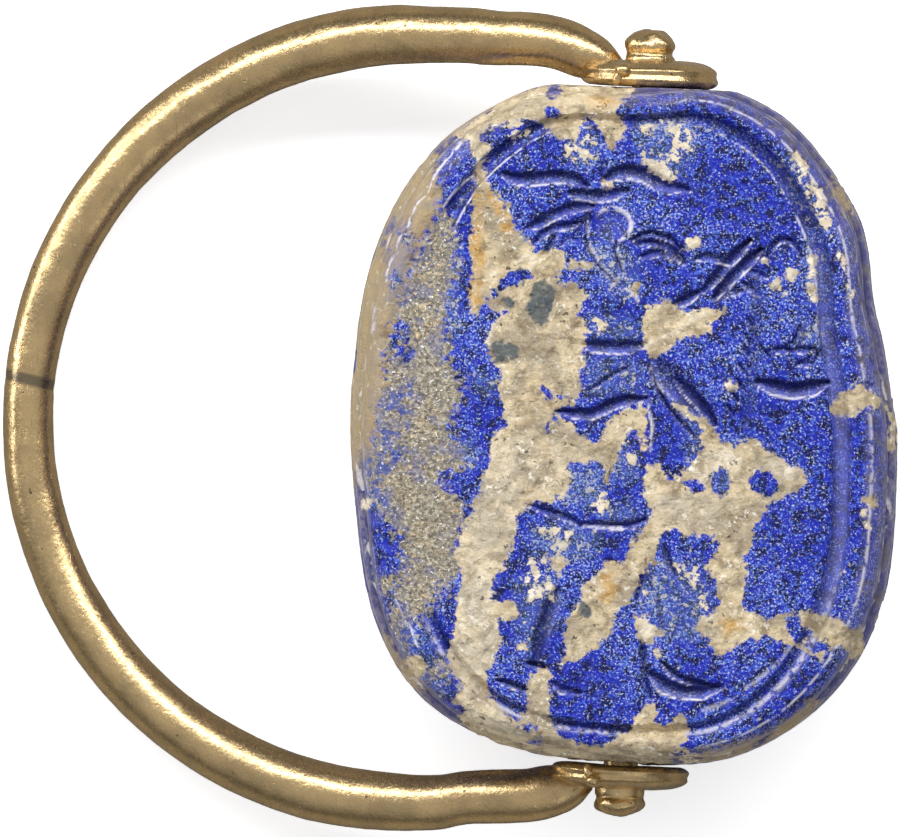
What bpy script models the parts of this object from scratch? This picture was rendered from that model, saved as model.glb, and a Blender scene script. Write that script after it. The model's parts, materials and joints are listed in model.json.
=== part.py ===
"""Finger ring: a carved stone scarab that turns on a gold pin between the ends of a gold hoop.

The ring lies with the scarab's flat seal face up and its domed back down. The pin runs along Y,
and the hoop drops from it towards -X until its back touches the same level as the scarab's crown.
"""
import math

import bmesh
import bpy
from mathutils import Matrix, Vector

# Sizes in metres. The scarab's sections are measured from the pin's line.

# Scarab: its outline, and the levels of its seal face and its crown
stone_length = 0.0195
stone_width = 0.0159
face_height = 0.0038
crown_depth = 0.0044
stone_offset = 0.00028
flat_spot_width = 0.0031

# Seal face: worn edge, border groove and engraved strokes
face_inset = 0.00078
edge_round = 0.00042
plate_thickness = 0.00125
border_inset = 0.00135
border_width = 0.00052
border_depth = 0.00026
fine_stroke = 0.00034
broad_stroke = 0.00050
stroke_depth = 0.00016

# Beetle: leg ridges along the flank, and the lines of its back
leg_zone = 0.0036
leg_groove = 0.00024
leg_cut_width = 0.00080
leg_cut_depth = 0.00042
back_line_width = 0.00044
back_line_depth = 0.00026

# Pin, its rivet heads and its running clearance in the stone and in the hoop's ends
pin_diameter = 0.0010
bore_clearance = 0.00009
head_diameter = 0.00151
head_height = 0.00072
head_gap = 0.00006

# Hoop: the finger's room, the wire's thickness along it, and the round pads at its ends
finger_span = 0.02066
finger_reach = 0.01733
hoop_centre = 0.00647
back_diameter = 0.00148
shoulder_diameter = 0.00177
end_diameter = 0.00157
pad_diameter = 0.00406
pad_thickness = 0.00078
pad_clearance = 0.00012

# Proportions of the free forms: how much the ends step in for each step of the sides, how full
# the outline's corners are, and where one side of the stone is worn flatter
FACE_END_SHARE = 0.62
BACK_END_SHARE = 1.12
OUTLINE_FULLNESS = 2.65
TAIL_FULLNESS = 0.25
CORNER_SKEW = 0.12
WORN_SIDE_SHARE = 0.028
WORN_SIDE_TURN = math.radians(18.0)
WORN_SIDE_SPREAD = math.radians(14.0)
WIDEST_SHARE = 0.60
FLANK_BULGE = 1.6
DOME_ROUNDNESS = 0.85
LEG_RIDGES = 3
LEG_CUT_TURNS = (38.0, 4.0, -34.0, 142.0, 176.0, 214.0)
STROKE_TAPER = 0.55

# Angles from the hoop's back, in degrees: where the wire is thickest, where it has thinned to its
# end, and where its arc gives way to the toe on the pad
SHOULDER_TURN = 77.0
END_TURN = 114.0
ARC_END = 100.0

# Steps of the turned and bent shapes, how far a cutter runs past what it cuts, and the distance
# at which loose points join
TURN_STEPS = 60
ROUND_STEPS = 28
DOME_STEPS = 6
ARC_STEPS = 22
THROUGH = 1.2
WELD = 1e-7

half_width = stone_width / 2
half_length = stone_length / 2
leg_top = face_height - plate_thickness
leg_bottom = leg_top - leg_zone
widest_level = leg_top - leg_zone * WIDEST_SHARE
pin_radius = pin_diameter / 2
bore_radius = pin_radius + bore_clearance
pad_inner = half_length + pad_clearance
pad_outer = pad_inner + pad_thickness
back_radius = back_diameter / 2
back_reach = finger_reach + back_radius
tilt = math.asin((crown_depth - back_radius) / back_reach)
hoop_left = back_reach * math.cos(tilt) + back_radius
stone_right = half_width - stone_offset
pin_place = Vector(((hoop_left - stone_right) / 2, 0.0, crown_depth))


def remove_everything():
    for old in list(bpy.data.objects):
        bpy.data.objects.remove(old, do_unlink=True)


def new_collection(name):
    group = bpy.data.collections.new(name)
    bpy.context.scene.collection.children.link(group)
    return group


def principled(name, colour, roughness, metallic):
    material = bpy.data.materials.new(name)
    material.use_nodes = True
    shader = material.node_tree.nodes["Principled BSDF"]
    shader.inputs["Base Color"].default_value = (*colour, 1.0)
    shader.inputs["Roughness"].default_value = roughness
    shader.inputs["Metallic"].default_value = metallic
    return material


def add_object(name, mesh, group, material=None):
    item = bpy.data.objects.new(name, mesh)
    group.objects.link(item)
    if material:
        mesh.materials.append(material)
    return item


def hide_guide(item):
    item.hide_render = True
    item.display_type = "WIRE"
    return item


def evaluated_mesh(item):
    """The object's mesh with its modifiers, as a mesh of its own; the object is removed."""
    bpy.context.view_layer.update()
    graph = bpy.context.evaluated_depsgraph_get()
    mesh = bpy.data.meshes.new_from_object(item.evaluated_get(graph))
    bpy.data.objects.remove(item, do_unlink=True)
    work = bmesh.new()
    work.from_mesh(mesh)
    bmesh.ops.remove_doubles(work, verts=work.verts, dist=WELD)
    work.to_mesh(mesh)
    work.free()
    return mesh


def turned_mesh(name, profile, steps, group):
    """A profile of (radius, height) pairs, run down its outer side and turned about Z."""
    work = bmesh.new()
    row = [work.verts.new((radius, 0.0, height)) for radius, height in profile]
    for upper, lower in zip(row, row[1:]):
        work.edges.new((upper, lower))
    mesh = bpy.data.meshes.new(name)
    work.to_mesh(mesh)
    work.free()
    item = add_object(name, mesh, group)
    screw = item.modifiers.new("Turn", "SCREW")
    screw.axis = "Z"
    screw.angle = math.tau
    screw.steps = steps
    screw.render_steps = steps
    screw.use_merge_vertices = True
    screw.merge_threshold = WELD
    return evaluated_mesh(item)


def tube_mesh(name, points, radii, resolution, group):
    """A round wire through the points, with its own radius at each, as a closed mesh."""
    curve = bpy.data.curves.new(name, "CURVE")
    curve.dimensions = "3D"
    curve.twist_mode = "Z_UP"
    curve.bevel_depth = 1.0
    curve.bevel_resolution = resolution
    curve.use_fill_caps = True
    spline = curve.splines.new("POLY")
    spline.points.add(len(points) - 1)
    for point, place, radius in zip(spline.points, points, radii):
        point.co = (*place, 1.0)
        point.radius = radius
    item = bpy.data.objects.new(name, curve)
    group.objects.link(item)
    return evaluated_mesh(item)


def smooth_step(share):
    share = min(max(share, 0.0), 1.0)
    return share * share * (3.0 - 2.0 * share)


# Scarab outline and section

def oval_reach(direction, half_x, half_y):
    """Distance from the middle to a full oval, whose corners differ as the worn stone's do."""
    fullness = (OUTLINE_FULLNESS - TAIL_FULLNESS * math.sin(direction)
                - CORNER_SKEW * math.sin(2.0 * direction))
    across = abs(math.cos(direction) / half_x) ** fullness
    along = abs(math.sin(direction) / half_y) ** fullness
    reach = (across + along) ** (-1.0 / fullness)
    worn = math.exp(-(((direction - WORN_SIDE_TURN) / WORN_SIDE_SPREAD) ** 2))
    return reach * (1.0 - WORN_SIDE_SHARE * worn)


def end_half(radius, below):
    """Half the stone's length at the level whose half width is radius."""
    share = BACK_END_SHARE if below else FACE_END_SHARE
    return half_length - share * (half_width - radius)


def oval_point(turn, radius, below):
    half_y = end_half(radius, below)
    direction = math.atan2(half_y * math.sin(turn), radius * math.cos(turn))
    reach = oval_reach(direction, radius, half_y)
    return Vector((reach * math.cos(direction), reach * math.sin(direction)))


def face_profile():
    """The seal face from its middle outwards, with the border groove and the worn edge."""
    groove_outer = half_width - border_inset
    groove_inner = groove_outer - border_width
    floor = face_height - border_depth
    edge = half_width - face_inset
    return [
        (0.0, face_height),
        (groove_inner, face_height),
        (groove_inner + border_width * 0.3, floor),
        (groove_outer - border_width * 0.3, floor),
        (groove_outer, face_height),
        (edge - edge_round * 0.25, face_height),
        (edge + edge_round * 0.35, face_height - edge_round * 0.30),
        (edge + edge_round * 0.70, face_height - edge_round),
        (half_width - leg_groove * 1.3, face_height - plate_thickness * 0.92),
    ]


def flank_reach(level):
    """Half the stone's width over the leg ridges, a little less above and below the widest line."""
    return half_width - ((level - widest_level) / leg_zone) ** 2 * leg_groove * FLANK_BULGE


def leg_profile():
    """The flank below the base plate: rounded ridges with a groove between each pair."""
    pitch = leg_zone / LEG_RIDGES
    rows = []
    for ridge in range(LEG_RIDGES):
        for share, sunk in ((0.0, leg_groove), (0.30, 0.0), (0.72, 0.0)):
            level = leg_top - pitch * (ridge + share)
            rows.append((flank_reach(level) - sunk, level))
    return rows


def back_profile():
    """The domed back, from the groove under the legs to the small flat spot at its crown."""
    rim = half_width - leg_groove
    flat = flat_spot_width / 2
    rows = [(rim - leg_groove, leg_bottom)]
    for step in range(1, DOME_STEPS):
        turn = math.radians(90.0) * step / DOME_STEPS
        radius = flat + (rim - flat) * math.cos(turn) ** DOME_ROUNDNESS
        rows.append((radius, leg_bottom - (crown_depth + leg_bottom) * math.sin(turn)))
    return rows + [(flat, -crown_depth), (0.0, -crown_depth)]


def is_below(height):
    return height < widest_level


def stone_mesh(group):
    profile = face_profile() + leg_profile() + back_profile()
    mesh = turned_mesh("stone_turning", profile, TURN_STEPS, group)
    for vertex in mesh.vertices:
        x, y, z = vertex.co
        radius = math.hypot(x, y)
        if radius > WELD:
            spot = oval_point(math.atan2(y, x), radius, is_below(z))
            vertex.co = (spot.x, spot.y, z)
    return mesh


def back_level(x, y):
    """Height of the domed back over a point of the plan."""
    direction = math.atan2(y, x)
    distance = math.hypot(x, y)
    dome = back_profile()
    inner = flat_spot_width / 2
    outer = dome[0][0]
    if distance < oval_reach(direction, inner, end_half(inner, True)):
        return -crown_depth
    for _ in range(40):
        middle = (inner + outer) / 2
        if oval_reach(direction, middle, end_half(middle, True)) < distance:
            inner = middle
        else:
            outer = middle
    for (wide, high), (narrow, low) in zip(dome, dome[1:]):
        if narrow <= outer <= wide and wide > narrow:
            return low + (high - low) * (outer - narrow) / (wide - narrow)
    return dome[0][1]


# Engraving of the seal face, as shares of half the stone's length: x, y pairs along each stroke

def along(*flat):
    return list(zip(flat[0::2], flat[1::2]))


def plumes_and_head():
    return [
        along(-0.370, 0.713, -0.309, 0.697, -0.227, 0.708, -0.155, 0.713),
        along(-0.063, 0.708, 0.009, 0.723, 0.091, 0.692, 0.153, 0.708),
        along(-0.114, 0.733, -0.114, 0.836),
        along(-0.186, 0.667, -0.022, 0.672),
        along(-0.298, 0.559, -0.196, 0.610, -0.124, 0.631),
        along(-0.268, 0.497, -0.216, 0.549, -0.155, 0.569),
    ]


def arms_and_kilt():
    stripes = [along(-0.114, level, 0.040, level) for level in (0.323, 0.221)]
    return stripes + [
        along(0.009, 0.544, 0.081, 0.549, 0.153, 0.518),
        along(0.040, 0.513, 0.153, 0.487),
        along(0.194, 0.508, 0.286, 0.487),
        along(0.050, 0.262, 0.255, 0.354),
        along(-0.165, 0.026, -0.073, 0.026, -0.001, 0.067),
        along(0.071, 0.190, 0.255, -0.036),
        along(-0.278, -0.267, -0.104, -0.297),
        along(-0.093, -0.308, 0.040, -0.303),
    ]


def legs_and_feet():
    return [
        along(-0.165, -0.446, -0.196, -0.528, -0.237, -0.621, -0.257, -0.703),
        along(-0.339, -0.774, -0.257, -0.795),
        along(0.061, -0.395, 0.132, -0.549, 0.091, -0.682, 0.102, -0.785),
        along(-0.175, -0.795, -0.093, -0.805),
    ]


def staff_and_marks():
    """The notched staff with its crossed head, and plain marks beside it."""
    ticks = [along(0.320, 0.345 - 0.046 * step, 0.352, 0.318 - 0.046 * step) for step in range(7)]
    uprights = [along(0.440 + 0.062 * step, 0.262, 0.440 + 0.062 * step, 0.180) for step in range(3)]
    arch = [along(0.437, 0.508, 0.445, 0.560, 0.480, 0.560, 0.490, 0.508)]
    return ticks + uprights + arch + [
        along(0.255, 0.405, 0.368, 0.538),
        along(0.286, 0.436, 0.399, 0.518),
        along(0.348, 0.467, 0.409, 0.446),
        along(0.399, 0.400, 0.378, 0.221, 0.358, 0.067, 0.337, -0.026),
    ]


def broad_strokes():
    return [
        along(0.399, 0.116, 0.490, 0.098, 0.580, 0.116),
        along(0.102, -0.754, 0.194, -0.760, 0.317, -0.768),
    ]


def groove_radius(width, depth):
    """Radius of the round tool that leaves a groove of this width and depth."""
    return (width * width / 4 + depth * depth) / (2 * depth)


def tapered(count, radius):
    """A stroke's radii: full along it and thin at its two ends."""
    return [radius * (STROKE_TAPER if step in (0, count - 1) else 1.0) for step in range(count)]


def with_middle(points):
    """A two-point stroke gets a full-width stretch between its thin ends."""
    if len(points) > 2:
        return points
    start, end = (Vector(point) for point in points)
    return [start, start.lerp(end, 0.3), start.lerp(end, 0.7), end]


def cut_face_strokes(strokes, width, guides):
    radius = groove_radius(width, stroke_depth)
    level = face_height + radius - stroke_depth
    for number, stroke in enumerate(strokes):
        shares = with_middle(stroke)
        points = [(x * half_length, y * half_length, level) for x, y in shares]
        mesh = tube_mesh("stroke", points, tapered(len(points), radius), 1, guides)
        place_on_pin(hide_guide(add_object(f"face_stroke_{number}", mesh, guides)))


def cut_head(guides):
    """The figure's head: a shallow oval sink with no features."""
    centre = Vector((-0.063, 0.579)) * half_length
    radius = half_length * 0.085
    work = bmesh.new()
    bmesh.ops.create_icosphere(work, subdivisions=2, radius=radius)
    bmesh.ops.scale(work, vec=(0.8, 1.0, 1.0), verts=work.verts)
    mesh = bpy.data.meshes.new("head_sink")
    work.to_mesh(mesh)
    work.free()
    for vertex in mesh.vertices:
        vertex.co += Vector((centre.x, centre.y, face_height + radius - stroke_depth))
    place_on_pin(hide_guide(add_object("head_sink", mesh, guides)))


# Carving of the beetle's back and legs

def back_lines():
    """Plan lines of the back, as shares of the stone's half width and half length."""
    neck = [(x / 5 * 0.84, 0.30 - 0.05 * (x / 5) ** 2) for x in range(-5, 6)]
    brow = [(x / 3 * 0.50, 0.64 + 0.03 * (x / 3) ** 2) for x in range(-3, 4)]
    suture = [(0.0, 0.27 - step * 0.135) for step in range(9)]
    lines = [neck, brow, suture]
    for side in (-1, 1):
        lines.append([(side * 0.50 * math.cos(step * 0.24), 0.20 - step * 0.155) for step in range(6)])
        lines.append([(side * 0.30, 0.67), (side * 0.21, 0.75), (side * 0.17, 0.82)])
        lines.append([(side * 0.80, 0.12), (side * 0.66, 0.17), (side * 0.62, 0.25)])
    return lines


def back_outward(x, y):
    """The direction straight out of the domed back over a point of the plan."""
    step = back_line_width
    slope_x = (back_level(x + step, y) - back_level(x - step, y)) / (2 * step)
    slope_y = (back_level(x, y + step) - back_level(x, y - step)) / (2 * step)
    return Vector((slope_x, slope_y, -1.0)).normalized()


def cut_back_lines(guides):
    radius = groove_radius(back_line_width, back_line_depth)
    for number, line in enumerate(back_lines()):
        points = []
        for across, up in line:
            x, y = across * half_width, up * half_length
            surface = Vector((x, y, back_level(x, y)))
            points.append(surface + back_outward(x, y) * (radius - back_line_depth))
        mesh = tube_mesh("line", points, tapered(len(points), radius), 1, guides)
        place_on_pin(hide_guide(add_object(f"back_line_{number}", mesh, guides)))


def cut_legs(guides):
    """Slanting cuts that part the flank's ridges into three legs on each side."""
    radius = groove_radius(leg_cut_width, leg_cut_depth)
    for number, turn in enumerate(LEG_CUT_TURNS):
        side = 1 if math.cos(math.radians(turn)) > 0 else -1
        points = []
        for step in range(4):
            level = leg_top - leg_zone * (0.30 + 0.20 * step)
            reach = flank_reach(level) + radius - leg_cut_depth
            slant = math.radians(turn + side * 5.0 * step)
            spot = oval_point(slant, reach, is_below(level))
            points.append((spot.x, spot.y, level))
        mesh = tube_mesh("leg", points, tapered(len(points), radius), 1, guides)
        place_on_pin(hide_guide(add_object(f"leg_cut_{number}", mesh, guides)))


def cylinder_mesh(name, radius, length):
    """A closed round bar along Y, centred on the pin's line."""
    work = bmesh.new()
    bmesh.ops.create_cone(work, cap_ends=True, segments=ROUND_STEPS, radius1=radius,
                          radius2=radius, depth=length)
    bmesh.ops.rotate(work, verts=work.verts, matrix=Matrix.Rotation(math.pi / 2, 3, "X"))
    mesh = bpy.data.meshes.new(name)
    work.to_mesh(mesh)
    work.free()
    return mesh


def place_on_pin(item):
    """A guide of the stone stands on the stone's middle, beside the pin's line."""
    item.location = pin_place - Vector((stone_offset, 0.0, 0.0))
    return item


def boolean(item, operation, other=None, group=None):
    cut = item.modifiers.new(operation.title(), "BOOLEAN")
    cut.operation = operation
    cut.solver = "EXACT"
    if group:
        cut.operand_type = "COLLECTION"
        cut.collection = group
    else:
        cut.object = other


def make_scarab(group, carving, material):
    mesh = stone_mesh(group)
    for vertex in mesh.vertices:
        vertex.co.x -= stone_offset
    scarab = add_object("scarab", mesh, group, material)
    scarab.location = pin_place
    cut_face_strokes(plumes_and_head() + arms_and_kilt() + legs_and_feet() + staff_and_marks(),
                     fine_stroke, carving)
    cut_face_strokes(broad_strokes(), broad_stroke, carving)
    cut_head(carving)
    cut_back_lines(carving)
    cut_legs(carving)
    bore_mesh = cylinder_mesh("bore", bore_radius, stone_length * THROUGH)
    bore = hide_guide(add_object("bore", bore_mesh, carving))
    bore.location = pin_place
    boolean(scarab, "DIFFERENCE", group=carving)
    return scarab


# Hoop and pin, made in the hoop's own plane: X towards the stone, Y along the pin

def wire_radius(turn):
    """The wire's radius at this angle from the hoop's back, in degrees."""
    if turn <= SHOULDER_TURN:
        grown = smooth_step(turn / SHOULDER_TURN)
        return (back_diameter + (shoulder_diameter - back_diameter) * grown) / 2
    thinned = smooth_step((turn - SHOULDER_TURN) / (END_TURN - SHOULDER_TURN))
    return (shoulder_diameter + (end_diameter - shoulder_diameter) * thinned) / 2


def half_hoop():
    """Places and radii from the hoop's back to one end, on the side of +Y."""
    places, radii = [], []
    for step in range(ARC_STEPS + 1):
        turn = ARC_END * step / ARC_STEPS
        radius = wire_radius(turn)
        angle = math.radians(turn)
        places.append(Vector((
            -hoop_centre - (finger_reach - hoop_centre + radius) * math.cos(angle),
            (finger_span / 2 + radius) * math.sin(angle), 0.0)))
        radii.append(radius)
    pad_radius = pad_diameter / 2
    end_radius = end_diameter / 2
    pad_middle = (pad_inner + pad_outer) / 2
    for back, rise, thickness in ((1.42, 0.90, 1.0), (1.00, 0.64, 0.95), (0.70, 0.37, 0.76),
                                  (0.45, 0.14, 0.36)):
        places.append(Vector((-back * pad_radius, pad_middle + rise * end_radius, 0.0)))
        radii.append(thickness * end_radius)
    return places, radii


def hoop_mesh(group):
    places, radii = half_hoop()
    mirrored = [Vector((place.x, -place.y, 0.0)) for place in places[:0:-1]]
    return tube_mesh("hoop", mirrored + places, radii[:0:-1] + radii, 3, group)


def pad_mesh(side, group):
    """A round pad with a channel round its rim and a domed outer face."""
    outer = pad_diameter / 2
    profile = []
    for radius, height in ((0.0, 1.0), (0.45, 1.0), (0.72, 0.92), (0.91, 0.72), (1.0, 0.50),
                           (0.97, 0.39), (0.88, 0.33), (0.89, 0.22), (0.97, 0.14),
                           (0.96, 0.03), (0.86, 0.0), (0.0, 0.0)):
        profile.append((radius * outer, pad_inner + height * pad_thickness))
    mesh = turned_mesh("pad", profile, ROUND_STEPS, group)
    mesh.transform(Matrix.Rotation(-side * math.pi / 2, 4, "X"))
    return mesh


def make_hoop(group, guides, swivel, material):
    hoop = add_object("hoop", hoop_mesh(group), group, material)
    for side, name in ((1, "pad_head_end"), (-1, "pad_tail_end")):
        pad = hide_guide(add_object(name, pad_mesh(side, guides), guides))
        pad.parent = swivel
        boolean(hoop, "UNION", other=pad)
    hole = cylinder_mesh("pin_hole", bore_radius, 2.0 * pad_outer * THROUGH)
    cutter = hide_guide(add_object("pin_hole", hole, guides))
    cutter.parent = swivel
    boolean(hoop, "DIFFERENCE", other=cutter)
    hoop.parent = swivel
    return hoop


def pin_profile():
    """The pin from tip to tip: a knob over a thin collar at each end of a plain shaft."""
    head_base = pad_outer + head_gap
    head_radius = head_diameter / 2
    half = []
    for radius, height in ((0.0, 1.0), (0.38, 0.97), (0.72, 0.84), (0.94, 0.62), (1.0, 0.42),
                           (0.96, 0.27), (0.86, 0.21), (0.97, 0.14), (0.95, 0.0)):
        half.append((radius * head_radius, head_base + height * head_height))
    half.append((pin_radius, head_base))
    return half + [(radius, -height) for radius, height in reversed(half)]


def make_pin(group, swivel, material):
    mesh = turned_mesh("pin", pin_profile(), ROUND_STEPS, group)
    mesh.transform(Matrix.Rotation(-math.pi / 2, 4, "X"))
    pin = add_object("pin", mesh, group, material)
    pin.parent = swivel
    return pin


def shade(item, angle):
    item.data.shade_smooth()
    item.data.set_sharp_from_angle(angle=math.radians(angle))


def main():
    remove_everything()
    ring = new_collection("scarab_ring")
    guides = new_collection("hoop_guides")
    carving = new_collection("scarab_carving")
    gold = principled("old gold", (0.62, 0.44, 0.18), 0.34, 1.0)
    lapis = principled("lapis lazuli", (0.03, 0.05, 0.42), 0.42, 0.0)

    swivel = bpy.data.objects.new("swivel", None)
    ring.objects.link(swivel)
    swivel.location = pin_place
    swivel.rotation_euler = (0.0, -tilt, 0.0)

    shade(make_scarab(ring, carving, lapis), 40.0)
    shade(make_hoop(ring, guides, swivel, gold), 40.0)
    shade(make_pin(ring, swivel, gold), 40.0)
    bpy.context.view_layer.update()


main()
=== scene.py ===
"""Looks of the scarab ring: a worn lapis stone that turns on a gold pin between a gold hoop's ends.

Lengths in the shaping functions are in millimetres, measured from the pin's middle, with X towards
the scarab's far side, Y along the pin towards the scarab's head and Z up out of the seal face.
to_frame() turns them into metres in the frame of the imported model. A share is a part of a whole,
and a direction is an angle round the stone, from its far side towards its head.
"""
import json
import math

import bmesh
import bpy
import numpy as np
from mathutils import Matrix, Vector, noise


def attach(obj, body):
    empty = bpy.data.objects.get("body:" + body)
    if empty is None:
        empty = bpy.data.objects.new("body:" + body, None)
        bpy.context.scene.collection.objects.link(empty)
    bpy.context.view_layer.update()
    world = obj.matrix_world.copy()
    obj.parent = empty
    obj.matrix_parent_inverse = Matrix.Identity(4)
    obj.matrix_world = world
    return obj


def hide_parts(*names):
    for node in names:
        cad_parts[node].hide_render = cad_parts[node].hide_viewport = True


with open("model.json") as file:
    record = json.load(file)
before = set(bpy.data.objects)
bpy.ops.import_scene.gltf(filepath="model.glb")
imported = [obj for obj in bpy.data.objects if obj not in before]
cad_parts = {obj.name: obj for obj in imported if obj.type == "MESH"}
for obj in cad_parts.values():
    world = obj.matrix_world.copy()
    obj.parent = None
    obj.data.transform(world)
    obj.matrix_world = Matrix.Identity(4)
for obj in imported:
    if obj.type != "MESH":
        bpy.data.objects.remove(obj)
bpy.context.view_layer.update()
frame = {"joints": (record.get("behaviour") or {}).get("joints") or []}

bl_info = {
    "name": "Scarab ring",
    "version": (1, 0, 0),
    "blender": (4, 5, 0),
    "location": "3D View > Sidebar > Scarab ring",
    "description": "Dresses the scarab ring: carved lapis stone, gold hoop and pin, and a pale studio",
    "category": "Object",
}

MM = 0.001
PIN_LINE = Vector(frame["joints"][0]["pos_m"])

# Stone: its outline and levels
HALF_WIDTH = 7.95
HALF_LENGTH = 9.75
STONE_MIDDLE = (-0.28, -0.17)
# Squareness of the outline: its mean, and what it loses towards the head and to the diagonals
FULLNESS = (2.65, 0.25, 0.12)
# Places where the outline is worn in or stands out: direction and spread in degrees, and share
WORN_PLACES = ((18.0, 14.0, -0.028), (25.0, 18.0, -0.020), (60.0, 14.0, 0.018), (95.0, 9.0, 0.006),
               (118.0, 16.0, 0.016), (170.0, 16.0, 0.012), (-155.0, 14.0, -0.016),
               (-115.0, 12.0, -0.010), (-84.0, 10.0, 0.006), (-55.0, 14.0, -0.010),
               (-30.0, 14.0, 0.016), (29.0, 7.0, -0.024), (68.0, 9.0, 0.024), (106.0, 7.0, 0.022),
               (-72.0, 8.0, 0.009), (167.0, 8.0, -0.007), (79.0, 8.0, 0.034), (36.0, 6.0, -0.010))
FACE_LEVEL = 3.8
CROWN_LEVEL = -4.4
EDGE_START = 6.95
EDGE_RADIUS = 7.464
EDGE_LEVEL = 3.38
EDGE_ROUNDNESS = 2.3
PLATE_FOOT = (7.638, 2.65)
PLATE_ROUNDNESS = 0.7
LEG_TOP = 2.55
LEG_ZONE = 3.6
LEG_BOTTOM = LEG_TOP - LEG_ZONE
LEG_GROOVE = 0.24
LEG_GROOVE_SHARE = 0.29
LEG_RIDGES = 3
FLANK_BULGE = 1.6
WIDEST_LEVEL = LEG_TOP - LEG_ZONE * 0.60
FLAT_RADIUS = 1.55
DOME_RIM = HALF_WIDTH - LEG_GROOVE
DOME_ROUNDNESS = 0.85
DOME_GROOVE_TURN = math.radians(9.0)
BACK_TURN = math.radians(30.0)
FACE_END_SHARE = 0.62
BACK_END_SHARE = 1.12
BORE_RADIUS = 0.59
BORE_SIDES = 64

# Stone: its carving and wear
# Border groove's edges: half width, and how much it grows at the upper right and at the tail end
GROOVE_INNER = (6.02, 0.06, 0.10)
GROOVE_OUTER = (6.56, 0.10, 0.14)
LIP_HEIGHT = 0.022
CALCITE_LUMPS = 0.055
CALCITE_SINK = 0.020
WHITE_RISE = 0.05
CRUST_LUMPS = 0.05
CHIP_DEPTH = 0.30
BAND_LUMPS = 0.025
BAND_SINK = 0.06
WAVES = 0.030
FINE_WEAR = 0.014
# Raggedness of the patches' outlines in steps of the sheet, on the face and for each level below it
WOBBLE = 2.0
DRIFT = 16.0
FLANK_LINES = (7.52, 6.95)
# Width and depth of the cuts between the legs and of the beetle's lines
LEG_CUT = (0.80, 0.42)
BEETLE_LINE = (0.44, 0.24)
FLAT_KEEP = 0.10

# Hoop and pin, in the hoop's own plane
FINGER_SPAN = 20.66
FINGER_REACH = 17.33
HOOP_CENTRE = 6.47
BACK_RADIUS = 0.74
SHOULDER_RADIUS = 0.885
END_RADIUS = 0.785
PAD_RADIUS = 2.03
PAD_INNER = HALF_LENGTH + 0.12
PAD_OUTER = PAD_INNER + 0.78
LOWER_PAD_SHARE = 0.88
HEAD_BASE = PAD_OUTER + 0.06
HEAD_HEIGHT = 0.72
HEAD_RADIUS = 0.755
HEAD_FOOT = -0.22
PIN_RADIUS = 0.5
SHOULDER_TURN = 77.0
END_TURN = 102.0
ARC_END = 100.0
HOOP_SKEW = 0.0085
PAD_LEAN = 0.021
HOOP_TILT = math.asin((-CROWN_LEVEL - BACK_RADIUS) / (FINGER_REACH + BACK_RADIUS))
# Bends of the wire: the Y range that they are in, X of the middle, spread and shift
WIRE_BENDS = ((6.0, 20.0, -4.1, 1.6, 0.19), (-20.0, -6.0, -5.4, 1.3, -0.08),
              (-20.0, -6.0, -2.6, 1.2, 0.09))
# Join across the hoop's back: its Y, its slant, and its X in the hoop's own plane and in the frame
SEAM_PLACE = 0.62
SEAM_SLANT = 0.2
SEAM_BACK = -18.07
SEAM_FRAME_X = -12.3
SEAM_DEPTH = 0.02
SEAM_WIDTH = 0.14
# Boss and rib on each pad: X, Y from the pad's inner face and Z of their places
BOSS_PLACE = (-0.40, 0.46, 1.92)
BOSS_SIZE = (0.24, 0.20, 0.26)
RIB_START = (-0.62, 0.06, 1.86)
RIB_END = (-0.48, 0.40, 1.88)
RIB_RADIUS = 0.15
RIB_OVERLAP = 0.6
PAD_DENTS = 0.018
HEAD_LUMPS = 0.095
HEAD_GRAIN = 0.02
UPPER_HEAD_STRETCH = 0.12
# Even part, and what each millimetre towards the right adds
LOWER_HEAD_STRETCH = (-0.13, -0.22)

# Places of the toe beyond the arc: back and rise in pad and wire radii, and thickness
TOE_KNOTS = ((1.42, 0.90, 1.0), (1.00, 0.64, 0.95), (0.70, 0.37, 0.76), (0.45, 0.14, 0.36))
# Profiles as shares of the radius and the height, from the middle of the outer face
PAD_KNOTS = ((0.0, 1.0), (0.36, 1.0), (0.56, 0.98), (0.72, 0.93), (0.84, 0.84), (0.92, 0.73),
             (0.963, 0.61), (0.965, 0.52), (0.963, 0.42), (0.978, 0.31), (0.985, 0.22),
             (0.955, 0.11), (0.91, 0.04), (0.86, 0.0))
HEAD_KNOTS = ((0.0, 0.99), (0.20, 1.0), (0.45, 0.97), (0.74, 0.85), (0.94, 0.66), (1.0, 0.48),
              (0.97, 0.33), (0.93, 0.22), (0.92, 0.12), (0.95, 0.0), (0.96, HEAD_FOOT))

# Sheet that the seal face's carving is laid out on
STEP = 0.029
SHEET_PIN = (635.7, 420.4)
SHEET_TURN = math.radians(2.4)

# Noises that shape the meshes: bumps to the millimetre, seed and octaves
NOISES = {
    "worn fringe": (0.75, 33, 4),
    "wobble across": (2.4, 1, 3),
    "wobble down": (2.4, 2, 3),
    "drift across": (0.55, 31, 3),
    "drift down": (0.55, 32, 3),
    "veins": (0.30, 7, 3),
    "calcite lumps": (2.6, 3, 4),
    "crust lumps": (4.2, 34, 3),
    "chips": (1.1, 5, 3),
    "slow waves": (0.35, 4, 2),
    "fine wear": (4.5, 6, 3),
    "wide dents": (0.55, 11, 3),
    "small dents": (2.2, 12, 3),
    "upper pad": (1.2, 14, 3),
    "lower pad": (1.2, 12, 3),
    "head lumps": (1.15, 21, 2),
    "head grain": (3.5, 22, 3),
}

# Steps of the meshes
FACE_CELLS = (110, 132)
PLATE_RINGS = 5
LEG_RINGS = 25
DOME_RINGS = 9
ARC_STEPS = 22
WIRE_SIDES = 72
PAD_STEPS = 144
HEAD_STEPS = 112


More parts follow.
